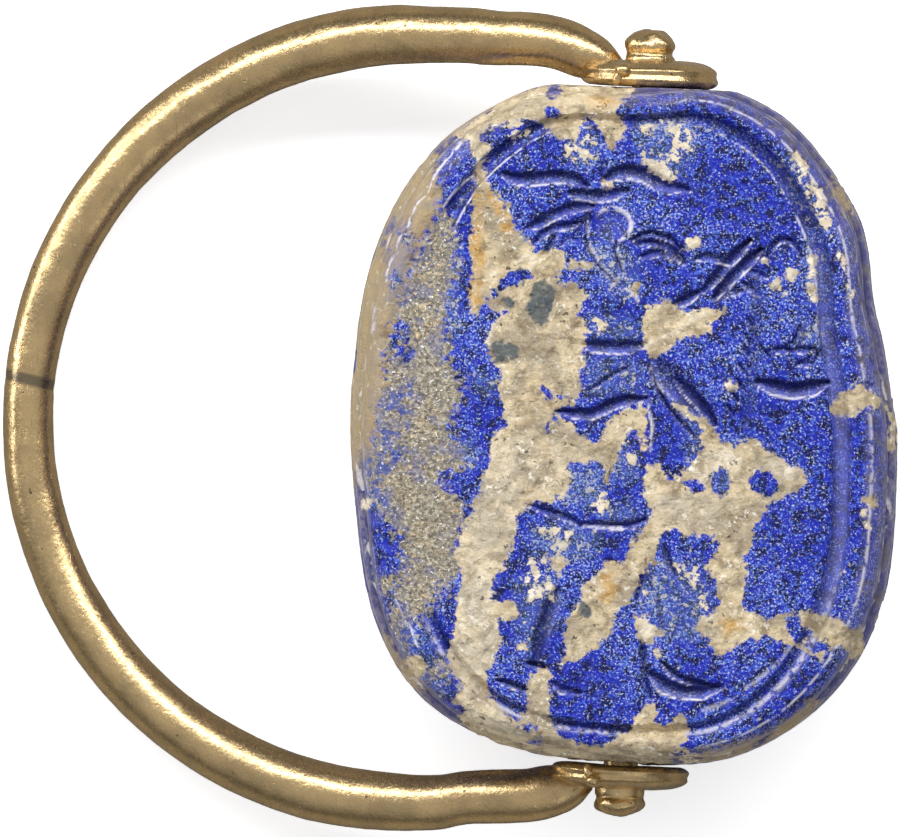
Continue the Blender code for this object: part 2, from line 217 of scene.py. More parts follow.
class StoneSettings(bpy.types.PropertyGroup):
    """Sizes and colours of the carved stone"""

    stroke_depth: bpy.props.FloatProperty(
        name="Stroke depth", description="Depth of the engraved strokes",
        default=0.00019, min=0.0, unit="LENGTH", precision=5)
    border_depth: bpy.props.FloatProperty(
        name="Border depth", description="Depth of the groove round the seal face",
        default=0.00026, min=0.0, unit="LENGTH", precision=5)
    blue: bpy.props.FloatVectorProperty(
        name="Blue", description="Main colour of the lapis",
        default=(0.010, 0.022, 0.43), subtype="COLOR", min=0.0, max=1.0)
    # Navy is painted shade on the lapis: in its hollows, in the grooves and on the strokes' upper walls
    navy: bpy.props.FloatVectorProperty(
        name="Navy", description="Colour of the lapis in its hollows",
        default=(0.002, 0.004, 0.075), subtype="COLOR", min=0.0, max=1.0)
    # Lilac colours rubbed edges, and the painted highlights on the strokes' lips, the groove's rims and
    # the head's rim
    lilac: bpy.props.FloatVectorProperty(
        name="Lilac", description="Colour of rubbed edges",
        default=(0.80, 0.77, 0.87), subtype="COLOR", min=0.0, max=1.0)
    cream: bpy.props.FloatVectorProperty(
        name="Cream", description="Main colour of the calcite",
        default=(0.68, 0.545, 0.345), subtype="COLOR", min=0.0, max=1.0)
    grey: bpy.props.FloatVectorProperty(
        name="Grey", description="Colour of the granular worn band",
        default=(0.30, 0.27, 0.21), subtype="COLOR", min=0.0, max=1.0)


class GoldSettings(bpy.types.PropertyGroup):
    """Colours and surface of the gold"""

    gold: bpy.props.FloatVectorProperty(
        name="Gold", description="Colour of the clean gold",
        default=(0.75, 0.535, 0.265), subtype="COLOR", min=0.0, max=1.0)
    patina: bpy.props.FloatVectorProperty(
        name="Patina", description="Colour of the brown film on the gold",
        default=(0.36, 0.27, 0.15), subtype="COLOR", min=0.0, max=1.0)
    hammering: bpy.props.FloatProperty(
        name="Hammering", description="Height of the soft dents left by the hammer",
        default=0.000022, min=0.0, unit="LENGTH", precision=6)


class StageSettings(bpy.types.PropertyGroup):
    """Camera, floor and lights"""

    frame_width: bpy.props.FloatProperty(
        name="Frame width", description="Width of the view where the ring lies",
        default=0.026291, min=0.001, unit="LENGTH", precision=6)
    camera_height: bpy.props.FloatProperty(
        name="Camera height", description="Height of the camera over the surface",
        default=1.0, min=0.1, unit="LENGTH")
    camera_turn: bpy.props.FloatProperty(
        name="Camera turn", description="Turn of the picture about the view's line",
        default=SHEET_TURN, subtype="ANGLE")
    floor: bpy.props.FloatVectorProperty(
        name="Floor", description="Colour of the plain floor",
        default=(0.90, 0.90, 0.90), subtype="COLOR", min=0.0, max=1.0)


class RingSettings(bpy.types.PropertyGroup):
    """All settings of the scarab ring"""

    stone: bpy.props.PointerProperty(type=StoneSettings)
    metal: bpy.props.PointerProperty(type=GoldSettings)
    stage: bpy.props.PointerProperty(type=StageSettings)


# Shares and noise

def smooth_step(share):
    share = np.clip(share, 0.0, 1.0)
    return share * share * (3.0 - 2.0 * share)


def bell(values, middle, spread):
    """1 at the middle, falling off over the spread on both sides."""
    return np.exp(-((values - middle) / spread) ** 2)


def fall(share):
    """1 at 0, 0 from 1 on, and level at both ends."""
    return 0.5 + 0.5 * np.cos(np.pi * np.clip(share, 0.0, 1.0))


def between(first, second, share):
    return first + (second - first) * share


def taper(share):
    """Half at both ends of a stroke and full over most of its length."""
    return 0.5 + 0.5 * np.minimum(1.0, 5.0 * np.minimum(share, 1.0 - share))


def clouds(points, name):
    """Soft noise between about -1 and 1."""
    scale, seed, octaves = NOISES[name]
    shift = Vector((17.3 * seed, -9.1 * seed, 5.7 * seed))
    return np.array([noise.fractal(Vector(place) * scale + shift, 0.9, 2.0, octaves)
                     for place in points])


# Places and meshes

def to_frame(points):
    """Millimetres from the pin's middle to metres in the frame."""
    return np.asarray(points, float) * MM + np.array(PIN_LINE)


def hoop_to_frame(points):
    """Places in the hoop's own plane, bent like the wire and dropped to its resting tilt, in metres."""
    x, y, z = np.asarray(points, float).T
    y = y + HOOP_SKEW * np.minimum(x + 3.0, 0.0)
    for start, end, place, spread, shift in WIRE_BENDS:
        y = y + shift * bell(x, place, spread) * ((y > start) & (y < end))
    turned = (x * math.cos(HOOP_TILT) - z * math.sin(HOOP_TILT), y,
              x * math.sin(HOOP_TILT) + z * math.cos(HOOP_TILT))
    return to_frame(np.stack(turned, axis=1))


def read_points(mesh):
    flat = np.empty(len(mesh.vertices) * 3)
    mesh.vertices.foreach_get("co", flat)
    return flat.reshape(-1, 3)


def write_points(mesh, points):
    mesh.vertices.foreach_set("co", np.asarray(points, float).ravel())
    mesh.update()


def read_normals(mesh):
    flat = np.empty(len(mesh.vertices) * 3, np.float32)
    mesh.vertex_normals.foreach_get("vector", flat)
    return flat.reshape(-1, 3).astype(float)


def raise_surface(mesh, height):
    """Moves each point along its normal by its height."""
    write_points(mesh, read_points(mesh) + read_normals(mesh) * height[:, None])


def write_field(mesh, name, values):
    """A number for each vertex, which the material reads by name."""
    layer = mesh.attributes.new(name, "FLOAT", "POINT")
    layer.data.foreach_set("value", np.asarray(values, np.float32))


def mesh_from(work, name):
    mesh = bpy.data.meshes.new(name)
    work.to_mesh(mesh)
    work.free()
    return mesh


def add_piece(name, data):
    piece = bpy.data.objects.new(name, data)
    bpy.context.scene.collection.objects.link(piece)
    return piece


def join_solids(piece, name, mesh, operation):
    """Joins another closed mesh to this piece, or cuts it away."""
    other = add_piece(name, mesh)
    cut = piece.modifiers.new(operation.title(), "BOOLEAN")
    cut.operation = operation
    cut.solver = "EXACT"
    cut.object = other
    bpy.context.view_layer.update()
    graph = bpy.context.evaluated_depsgraph_get()
    joined = bpy.data.meshes.new_from_object(piece.evaluated_get(graph))
    piece.modifiers.clear()
    old = piece.data
    piece.data = joined
    bpy.data.meshes.remove(old)
    bpy.data.objects.remove(other, do_unlink=True)


def fresh_parts(made):
    """The open edges and the vertices that an extrusion has made."""
    edges = [item for item in made if isinstance(item, bmesh.types.BMEdge) and item.is_boundary]
    return edges, [item for item in made if isinstance(item, bmesh.types.BMVert)]


# Stone outline and levels

def oval_reach(direction, half_x, half_y):
    """Distance from the stone's middle to its outline in this direction."""
    mean, head, diagonal = FULLNESS
    fullness = mean - head * np.sin(direction) - diagonal * np.sin(2.0 * direction)
    across = np.abs(np.cos(direction) / half_x) ** fullness
    lengthwise = np.abs(np.sin(direction) / half_y) ** fullness
    worn = 1.0
    for turn, spread, share in WORN_PLACES:
        apart = (direction - math.radians(turn) + np.pi) % (2 * np.pi) - np.pi
        worn = worn + share * bell(apart, 0.0, math.radians(spread))
    return (across + lengthwise) ** (-1.0 / fullness) * worn


def end_half(radius, level):
    """Half the stone's length where its half width is radius."""
    lower = smooth_step((WIDEST_LEVEL + 0.5 - level) / 1.0)
    return HALF_LENGTH - between(FACE_END_SHARE, BACK_END_SHARE, lower) * (HALF_WIDTH - radius)


def oval_points(turn, radius, level):
    """Plan points from the stone's middle, at these turns round the section of this half width."""
    half_y = end_half(radius, level)
    direction = np.arctan2(half_y * np.sin(turn), radius * np.cos(turn))
    reach = oval_reach(direction, radius, half_y)
    return np.stack((reach * np.cos(direction), reach * np.sin(direction)), axis=1)


def section_radius(plan, level):
    """Half width of the section that passes through each plan point, by halving."""
    direction = np.arctan2(plan[:, 1], plan[:, 0])
    distance = np.hypot(plan[:, 0], plan[:, 1])
    inner = np.full(len(plan), 0.3)
    outer = np.full(len(plan), 9.0)
    for _ in range(28):
        middle = (inner + outer) / 2
        short = oval_reach(direction, middle, end_half(middle, level)) < distance
        inner = np.where(short, middle, inner)
        outer = np.where(short, outer, middle)
    return (inner + outer) / 2


def face_height(radius):
    """Level of the seal face, which rounds off towards its worn edge."""
    share = np.clip((radius - EDGE_START) / (EDGE_RADIUS - EDGE_START), 0.0, 1.2)
    return between(FACE_LEVEL, EDGE_LEVEL, share ** EDGE_ROUNDNESS)


def leg_phase(level):
    """Share of the way from one groove between the leg ridges to the next."""
    return ((LEG_TOP - level) / LEG_ZONE * LEG_RIDGES) % 1.0


def bare_flank(level):
    """Half width of the bulging flank without its grooves."""
    return HALF_WIDTH - ((level - WIDEST_LEVEL) / LEG_ZONE) ** 2 * LEG_GROOVE * FLANK_BULGE


def flank_radius(level):
    """Half width over the leg ridges: rounded ridges with a groove between each pair."""
    phase = leg_phase(level)
    nearest = np.minimum(phase, 1.0 - phase)
    return bare_flank(level) - LEG_GROOVE * fall(nearest / LEG_GROOVE_SHARE)


def dome_radius(turn):
    rounded = between(FLAT_RADIUS, DOME_RIM, np.cos(turn) ** DOME_ROUNDNESS)
    return rounded - LEG_GROOVE * fall(turn / DOME_GROOVE_TURN)


def dome_drop(turn):
    return between(LEG_BOTTOM, CROWN_LEVEL, np.sin(turn))


def dome_level(radius):
    """Level of the domed back where its half width is radius."""
    share = np.clip((radius - FLAT_RADIUS) / (DOME_RIM - FLAT_RADIUS), 0.0, 1.0)
    return dome_drop(np.arccos(share ** (1.0 / DOME_ROUNDNESS)))


def flank_rows():
    """Half width and level of each ring from below the seal face's edge to the back's shell."""
    rows = []
    for step in range(1, PLATE_RINGS + 1):
        share = step / PLATE_RINGS
        rows.append((between(EDGE_RADIUS, PLATE_FOOT[0], share ** PLATE_ROUNDNESS),
                     between(EDGE_LEVEL, PLATE_FOOT[1], share)))
    for step in range(LEG_RINGS + 1):
        level = LEG_TOP - LEG_ZONE * step / LEG_RINGS
        rows.append((float(flank_radius(level)), level))
    for step in range(1, DOME_RINGS + 1):
        turn = BACK_TURN * step / DOME_RINGS
        rows.append((float(dome_radius(turn)), float(dome_drop(turn))))
    return rows


# Stone mesh: a grid for the face, rings down the flank and a grid for the back

def round_grid(work, level):
    """A square grid drawn into a round one of radius 1, at this level."""
    made = bmesh.ops.create_grid(work, x_segments=FACE_CELLS[0], y_segments=FACE_CELLS[1], size=1.0)
    for vertex in made["verts"]:
        u, v, _ = vertex.co
        vertex.co = (u * math.sqrt(1.0 - v * v / 2), v * math.sqrt(1.0 - u * u / 2), level)
    return made["verts"]


def drum(ring_count):
    """A closed drum of radius 1 that has one level for each ring; its top is the finer end."""
    work = bmesh.new()
    round_grid(work, 0.0)
    rim = [edge for edge in work.edges if edge.is_boundary]
    face_edges = list(work.edges)
    for _ in range(ring_count):
        made = bmesh.ops.extrude_edge_only(work, edges=rim)["geom"]
        rim, fresh = fresh_parts(made)
        bmesh.ops.translate(work, vec=(0.0, 0.0, -1.0), verts=fresh)
    back = round_grid(work, -float(ring_count))
    back_faces = list({corner for vertex in back for corner in vertex.link_faces})
    bmesh.ops.reverse_faces(work, faces=back_faces)
    bmesh.ops.remove_doubles(work, verts=work.verts, dist=1e-5)
    bmesh.ops.subdivide_edges(work, edges=[edge for edge in face_edges if edge.is_valid], cuts=1,
                              use_grid_fill=True)
    bmesh.ops.recalc_face_normals(work, faces=work.faces)
    return mesh_from(work, "stone")


def shape_stone(mesh):
    """Draws the drum into the stone's smooth form, in millimetres from the stone's middle."""
    rows = flank_rows()
    points = read_points(mesh)
    depth = -points[:, 2]
    turn = np.arctan2(points[:, 1], points[:, 0])
    spread = np.hypot(points[:, 0], points[:, 1])
    on_wall = spread > 0.99999
    shaped = np.zeros_like(points)

    top = depth < 0.5
    rim = oval_points(turn[top], EDGE_RADIUS, EDGE_LEVEL)
    plan = rim * np.minimum(spread[top], 1.0)[:, None]
    shaped[top, :2] = plan
    shaped[top, 2] = face_height(section_radius(plan, EDGE_LEVEL))

    for number, (radius, level) in enumerate(rows, start=1):
        ring = (np.abs(depth - number) < 0.25) & on_wall
        shaped[ring, :2] = oval_points(turn[ring], radius, level)
        shaped[ring, 2] = level

    under = (depth > len(rows) - 0.5) & ~on_wall
    radius = spread[under] * rows[-1][0]
    rounded = np.maximum(radius, FLAT_RADIUS)
    shaped[under, :2] = oval_points(turn[under], rounded, CROWN_LEVEL) * (radius / rounded)[:, None]
    shaped[under, 2] = dome_level(radius)
    write_points(mesh, shaped)


# Carving of the seal face. Its strokes and patches are laid out on a sheet of 900 by 837 steps of
# 0.029 mm that looks straight down on the face, with x to the right and y down the sheet.

def on_sheet(points):
    """Places of the stone's points on the sheet, from millimetres from the stone's middle."""
    x = points[:, 0] + STONE_MIDDLE[0]
    y = points[:, 1] + STONE_MIDDLE[1]
    across = x * math.cos(SHEET_TURN) + y * math.sin(SHEET_TURN)
    up = -x * math.sin(SHEET_TURN) + y * math.cos(SHEET_TURN)
    return np.stack((SHEET_PIN[0] + across / STEP, SHEET_PIN[1] - up / STEP), axis=1)


# Strokes: width, depth as a share, and the x and y of each point

# Two long plumes over a bar
PLUMES = (
    (14, 1.0, 503, 174, 515, 179, 530, 180, 545, 178, 560, 177, 575, 180, 587, 186),
    (16, 1.0, 604, 180, 616, 174, 630, 172, 644, 175, 656, 182, 668, 187, 687, 190),
    (8, 0.5, 601, 178, 603, 170, 607, 163),
    (13, 0.9, 569, 193, 585, 196, 600, 197, 612, 195, 627, 191),
)

# The headdress, at the left of the head
HEADDRESS = (
    (12, 0.9, 528, 228, 540, 223, 552, 216, 566, 210, 580, 207, 594, 206),
    (9, 0.8, 534, 243, 543, 234, 556, 228, 568, 226, 580, 223),
    (6, 0.8, 557, 233, 552, 241, 549, 249, 541, 256),
    (6, 0.6, 587, 213, 589, 221, 586, 231),
    (7, 0.5, 560, 246, 568, 238, 578, 240),
)

# The raised arm, the sleeve and the two crossed bars
ARMS = (
    (7, 0.9, 633, 240, 642, 235, 652, 233, 662, 237, 672, 240, 681, 250),
    (9, 0.9, 636, 243, 650, 243, 662, 245, 672, 250, 680, 258, 684, 264),
    (9, 0.8, 641, 257, 655, 253, 668, 254, 679, 261),
    (9, 0.8, 696, 259, 708, 256, 718, 259, 729, 264),
    (12, 1.2, 703, 291, 718, 275, 732, 259, 749, 241),
    (12, 1.1, 714, 298, 730, 280, 745, 265, 760, 250),
    (9, 0.7, 742, 269, 754, 273, 767, 277),
    (9, 0.7, 743, 283, 750, 288, 759, 295),
    (9, 0.6, 716, 299, 728, 293, 742, 291),
    (11, 1.3, 674, 305, 686, 300, 698, 292),
    (4, 0.7, 617, 240, 614, 252, 618, 262, 623, 273),
    (4, 0.7, 594, 262, 604, 271, 612, 281, 621, 287),
    (4, 0.5, 587, 240, 590, 252, 597, 263),
)

# Shoulders, belt and the folds of the kilt
BODY = (
    (14, 0.9, 584, 345, 600, 347, 620, 348, 645, 345),
    (5, 0.7, 587, 391, 600, 384, 612, 375, 627, 368),
    (12, 1.0, 558, 411, 575, 414, 590, 415, 602, 410, 614, 404, 628, 400, 646, 399),
    (26, 0.7, 654, 360, 668, 379, 682, 394, 702, 414),
    (13, 1.3, 677, 380, 690, 393, 704, 408, 715, 425),
    (5, 0.9, 648, 363, 653, 380, 661, 395, 669, 409),
    (5, 0.8, 672, 412, 682, 424, 697, 439),
    (8, 0.9, 529, 505, 545, 511, 560, 515, 572, 520, 582, 526),
    (9, 0.9, 584, 524, 600, 525, 615, 526, 630, 526, 646, 519),
    (5, 0.6, 606, 455, 611, 468, 606, 482),
)

# Legs, feet and the ground line
LEGS = (
    (15, 0.8, 557, 590, 549, 612, 541, 634, 537, 658),
    (8, 0.9, 498, 680, 512, 685, 526, 690),
    (9, 0.8, 553, 682, 562, 690, 581, 693),
    (9, 1.4, 528, 663, 546, 668),
    (6, 0.8, 641, 640, 643, 660, 645, 680, 651, 697),
    (16, 1.1, 651, 674, 664, 686, 680, 692, 700, 692, 719, 687),
    (8, 1.1, 663, 663, 674, 675, 690, 682, 709, 685),
    (8, 0.9, 664, 545, 668, 562, 676, 575),
    (7, 0.8, 646, 560, 641, 580, 636, 600),
)

# A staff with ticks, and plain marks beside it: an arch, bars, slants and a broad crescent
TICKS = ((746, 317), (743, 332), (742, 346), (737, 362), (735, 377), (731, 391), (727, 405))
MARKS = tuple((5, 0.8, x, y, x + 7, y + 11) for x, y in TICKS)
MARKS += tuple((4, 0.7, x, 359, x + 7, 347) for x in (808, 815))
MARKS += (
    (13, 0.45, 758, 275, 756, 330, 751, 380, 744, 425),
    (9, 0.8, 773, 350, 790, 350),
    (9, 0.8, 795, 350, 811, 350),
    (9, 0.7, 798, 364, 812, 363),
    (5, 0.8, 794, 342, 800, 325),
    (5, 0.7, 804, 340, 800, 325),
    (4, 0.7, 761, 346, 770, 358),
    (7, 0.8, 767, 257, 771, 247, 780, 240, 789, 240, 796, 246, 802, 258),
    (17, 1.3, 758, 382, 776, 388, 793, 391, 810, 389, 826, 383),
)

STROKES = PLUMES + HEADDRESS + ARMS + BODY + LEGS + MARKS


def nearest_on(points, line, near):
    """Points within near of a row of points, with the nearest stretch's distance and offset.

    Gives the points' numbers, distance, last coordinate's offset and share of the row's length."""
    count = len(points)
    distance = np.full(count, np.inf)
    offset = np.zeros(count)
    share = np.zeros(count)
    line = np.asarray(line, float)
    for number, (start, end) in enumerate(zip(line, line[1:])):
        low = np.minimum(start, end) - near
        high = np.maximum(start, end) + near
        close = np.flatnonzero(((points >= low) & (points <= high)).all(axis=1))
        way = end - start
        part = np.clip((points[close] - start) @ way / (way @ way), 0.0, 1.0)
        apart = points[close] - start - part[:, None] * way
        reach = np.sqrt((apart ** 2).sum(axis=1))
        better = reach < distance[close]
        chosen = close[better]
        distance[chosen] = reach[better]
        offset[chosen] = apart[better, -1]
        share[chosen] = (number + part[better]) / (len(line) - 1)
    found = np.flatnonzero(distance < near)
    return found, distance[found], offset[found], share[found]


def line_field(sheet, lines):
    """How near the sheet's places lie to thin lines, as a share."""
    share = np.zeros(len(sheet))
    for width, strength, *flat in lines:
        line = np.reshape(flat, (-1, 2))
        found, distance, _, _ = nearest_on(sheet, line, width * 1.6)
        near = strength * bell(distance, 0.0, width / 1.6)
        share[found] = np.maximum(share[found], near)
    return share


def stroke_fields(sheet):
    """How deep the strokes cut, with painted shade on their upper side, polish with painted sheen on
    the lower floor and painted highlights with some rubbing on the lower lip.
    """
    cut, shade, floor, lit_lip = (np.zeros(len(sheet)) for _ in range(4))
    for width, depth, *flat in STROKES:
        found, distance, down, share = nearest_on(sheet, np.reshape(flat, (-1, 2)), width * 1.3)
        half = width / 2 * taper(share)
        across = distance / half
        side = np.clip(down / half, -1.5, 1.5)
        bowl = depth * np.clip(1.0 - across ** 2, 0.0, 1.0) ** 0.75 * (1.0 - 0.35 * side)
        strong = min(depth, 1.0)
        inside = smooth_step((1.35 - across) / 0.45) * strong
        # Painted highlight on the lower lip, the side lit from the head end, with some rubbing
        rubbed_and_lit = smooth_step((side - 0.15) / 0.5) * bell(across, 0.90, 0.17)
        for whole, part in ((cut, bowl), (shade, inside * smooth_step((0.42 - side) / 0.5)),
                            (floor, inside * bell(side, 0.5, 0.32)),
                            (lit_lip, rubbed_and_lit * (0.4 + 0.6 * strong))):
            whole[found] = np.maximum(whole[found], part)
    return cut, shade, floor, lit_lip


def head_fields(sheet):
    """The figure's head: a shallow oval sink, and a painted highlight on its rim at the upper right."""
    x = (sheet[:, 0] - 612.0) / 19.0
    y = (sheet[:, 1] - 225.0) / 16.5
    across = np.hypot(x, y)
    sink = np.clip(1.0 - across ** 2, 0.0, 1.0) ** 0.7
    side = smooth_step(0.75 + 0.6 * x - 0.35 * y)
    return sink, bell(across, 1.0, 0.14) * side


def right_side(direction):
    """1 on the stone's far side, and 0 behind and at both ends."""
    return smooth_step(2.2 * np.cos(direction) - 0.9)


def border_fields(radius, direction):
    """The groove round the face: its depth as a share, the painted highlights along its rims with some
    rubbing, and its painted shade.
    """
    upper = bell(direction, math.radians(62.0), math.radians(34.0))
    lower = bell(direction, math.radians(-90.0), math.radians(50.0))
    inner, outer = (middle + up * upper + low * lower
                    for middle, up, low in (GROOVE_INNER, GROOVE_OUTER))
    across = (radius - (inner + outer) / 2) / ((outer - inner) / 2)
    groove = smooth_step((1.15 - np.abs(across)) / 0.6)
    # Painted highlights: on the rim whose wall faces the light from the head end, a pale band on the
    # lit outer wall at the tail end, and the lit inner wall at the upper right, with some rubbing
    facing_light = smooth_step(0.5 - np.sin(direction) * np.sign(across) * 1.2)
    head_end = smooth_step(2.6 * np.sin(direction) - 0.7)
    tail_end = smooth_step(-2.2 * np.sin(direction) - 0.8) * smooth_step(1.4 + np.cos(direction))
    lit_rims = bell(np.abs(across), 1.10, 0.13) * (0.15 + 0.85 * facing_light)
    lit_rims = lit_rims * (0.06 + head_end) + 0.8 * tail_end * bell(across, 0.50, 0.42)
    lit_rims = np.maximum(lit_rims, bell(across, -1.12, 0.17) * bell(direction, 0.87, 0.42))
    # Painted shade in the groove where its wall is turned from the light, less on the far side
    shade = groove * smooth_step(0.35 + 0.9 * upper + np.sin(direction) * across * 1.6)
    return groove, lit_rims, shade * (1.0 - 0.6 * right_side(direction))


# Patches of other stone: the x and y of each corner of their outlines

# The long calcite band from the head end to the tail end
CALCITE_LONG = (
    (456, 136, 464, 128, 470, 121, 480, 112, 492, 103, 500, 92, 560, 70, 634, 70, 631, 97, 621,
     100, 619, 108, 622, 118, 626, 130, 618, 141, 612, 150, 606, 149, 602, 136, 596, 126, 592, 116,
     585, 121, 579, 131, 574, 140, 562, 138, 553, 134, 548, 127, 536, 120, 524, 119, 512, 122, 498,
     128, 486, 129, 478, 133, 480, 140, 494, 143, 492, 150, 484, 157, 483, 166, 486, 176, 489, 186,
     497, 194, 502, 200, 508, 205, 512, 214, 516, 228, 522, 240, 530, 244, 536, 255, 546, 250, 556,
     249, 566, 252, 568, 261, 580, 260, 593, 266, 588, 272, 575, 269, 566, 267, 557, 273, 556, 282,
     566, 286, 576, 284, 584, 289, 588, 298, 582, 306, 580, 314, 586, 322, 591, 331, 588, 337, 582,
     343, 581, 351, 584, 359, 585, 367, 582, 375, 579, 382, 583, 389, 580, 395, 576, 403, 568, 408,
     558, 411, 562, 420, 570, 419, 574, 428, 580, 436, 588, 439, 593, 443, 600, 437, 608, 429, 607,
     420, 618, 412, 628, 406, 640, 404, 648, 409, 647, 425, 646, 441, 644, 452, 639, 444, 634, 431,
     628, 431, 624, 441, 622, 450, 615, 458, 612, 470, 607, 482, 602, 480, 605, 464, 598, 457, 590,
     463, 575, 462, 566, 466, 572, 477, 569, 487, 565, 496, 553, 501, 540, 504, 527, 507, 520, 518,
     517, 531, 512, 546, 507, 560, 504, 569, 496, 575, 492, 585, 494, 597, 506, 600, 516, 605, 519,
     615, 508, 619, 500, 622, 498, 635, 500, 648, 497, 660, 491, 670, 487, 680, 487, 691, 496, 701,
     506, 712, 516, 719, 524, 712, 529, 696, 527, 681, 531, 673, 540, 667, 551, 668, 552, 674, 546,
     690, 550, 701, 548, 714, 552, 727, 560, 735, 575, 741, 590, 746, 605, 744, 618, 738, 626, 733,
     634, 727, 635, 717, 641, 707, 648, 702, 656, 706, 660, 713, 655, 719, 661, 726, 672, 722, 680,
     714, 686, 720, 688, 730, 686, 739, 680, 745, 690, 752, 700, 756, 700, 790, 540, 790, 480, 760,
     430, 712, 447, 720, 460, 722, 462, 712, 453, 701, 458, 692, 460, 681, 452, 671, 449, 656, 452,
     640, 456, 620, 457, 600, 459, 588, 459, 572, 455, 556, 458, 540, 459, 528, 465, 519, 474, 512,
     473, 501, 479, 494, 485, 487, 484, 477, 487, 465, 490, 450, 492, 440, 496, 430, 506, 424, 503,
     415, 505, 405, 502, 395, 499, 385, 500, 375, 494, 365, 490, 352, 489, 340, 491, 325, 499, 315,
     506, 311, 498, 312, 489, 309, 488, 303, 497, 296, 508, 288, 520, 283, 530, 278, 526, 269, 516,
     271, 504, 280, 492, 290, 484, 302, 481, 312, 474, 316, 469, 310, 470, 290, 471, 270, 469, 250,
     470, 236, 473, 222, 471, 205, 474, 194, 478, 188, 474, 178, 476, 168, 474, 160, 469, 151, 467,
     143, 461, 141),
)

# Large calcite patches in the middle and at the right
CALCITE_RIGHT = (
    (673, 404, 684, 407, 695, 415, 706, 422, 716, 430, 722, 440, 735, 446, 748, 441, 757, 441, 766,
     449, 778, 457, 792, 466, 802, 469, 811, 482, 800, 487, 788, 496, 776, 500, 768, 506, 765, 515,
     757, 522, 753, 532, 754, 545, 748, 552, 738, 556, 745, 562, 748, 572, 746, 585, 742, 595, 744,
     605, 750, 612, 760, 617, 772, 618, 785, 613, 800, 612, 812, 611, 830, 617, 842, 621, 852, 629,
     866, 626, 872, 640, 862, 652, 850, 652, 838, 646, 830, 649, 822, 662, 812, 655, 800, 648, 790,
     646, 782, 640, 765, 638, 750, 640, 738, 645, 728, 652, 716, 655, 712, 648, 706, 640, 700, 632,
     692, 628, 700, 618, 712, 612, 719, 605, 717, 590, 713, 575, 706, 568, 716, 556, 717, 545, 708,
     535, 695, 532, 686, 538, 680, 532, 671, 530, 662, 535, 657, 546, 655, 560, 646, 572, 638, 580,
     632, 592, 629, 601, 620, 610, 612, 620, 611, 630, 603, 640, 595, 650, 585, 655, 572, 660, 559,
     669, 557, 664, 565, 652, 562, 645, 568, 630, 567, 620, 570, 610, 576, 603, 580, 598, 582, 588,
     586, 580, 598, 576, 602, 562, 612, 558, 620, 563, 628, 556, 632, 545, 640, 530, 648, 519, 651,
     508, 645, 498, 642, 488, 645, 472, 651, 462, 663, 469, 670, 478, 682, 474, 690, 465, 697, 455,
     704, 448, 698, 438, 700, 430, 692, 420, 680, 412),
    (641, 325, 642, 315, 647, 305, 660, 300, 673, 302, 682, 308, 692, 312, 702, 308, 716, 309, 724,
     312, 719, 320, 709, 325, 711, 332, 700, 338, 690, 337, 678, 340, 670, 347, 664, 353, 655, 358,
     650, 352, 645, 348, 643, 340, 645, 332),
    (632, 611, 642, 615, 648, 622, 660, 627, 665, 633, 656, 637, 650, 644, 640, 641, 635, 628),
)

# Small calcite patches
CALCITE_SMALL = (
    (832, 402, 840, 392, 850, 388, 858, 382, 866, 391, 875, 391, 881, 400, 877, 413, 868, 404, 858,
     408, 855, 418, 840, 417, 832, 412),
    (790, 156, 797, 152, 806, 158, 811, 167, 802, 169, 794, 164),
    (806, 186, 812, 182, 821, 188, 822, 198, 829, 206, 828, 212, 819, 203, 810, 196),
    (820, 219, 828, 216, 832, 224, 826, 228),
    (405, 672, 403, 660, 414, 656, 424, 662, 430, 668, 421, 676, 416, 682),
    (548, 556, 560, 556, 567, 562, 560, 578, 555, 572),
    (598, 183, 603, 177, 613, 181, 612, 187, 603, 187),
    (645, 160, 652, 157, 660, 163, 668, 172, 677, 177, 670, 181, 660, 176, 651, 172),
    (630, 288, 638, 284, 641, 291, 637, 297, 631, 295),
    (862, 500, 868, 494, 878, 500, 880, 512, 870, 508),
    (884, 406, 896, 406, 902, 448, 888, 448),
)

CALCITE = CALCITE_LONG + CALCITE_RIGHT + CALCITE_SMALL

# Round pale spots: x, y and radius
PALE_SPOTS = (
    (692, 243, 7.5), (792, 275, 6.5), (776, 285, 5.5), (764, 259, 4), (812, 262, 6),
    (811, 275, 4.5), (810, 287, 4.5), (813, 299, 3), (838, 257, 4.5), (843, 263, 3), (852, 294, 3),
    (729, 387, 6), (527, 582, 4), (532, 597, 5), (540, 575, 3.5), (550, 588, 3.5), (550, 597, 3),
    (543, 560, 3), (604, 505, 3.5), (633, 460, 4.5), (700, 484, 4.5), (716, 470, 4), (705, 478, 3),
    (367, 503, 5), (842, 573, 2.5), (865, 512, 2.5), (868, 526, 4), (657, 653, 4), (521, 646, 3),
    (525, 621, 2), (644, 593, 3), (783, 293, 1.8),
)

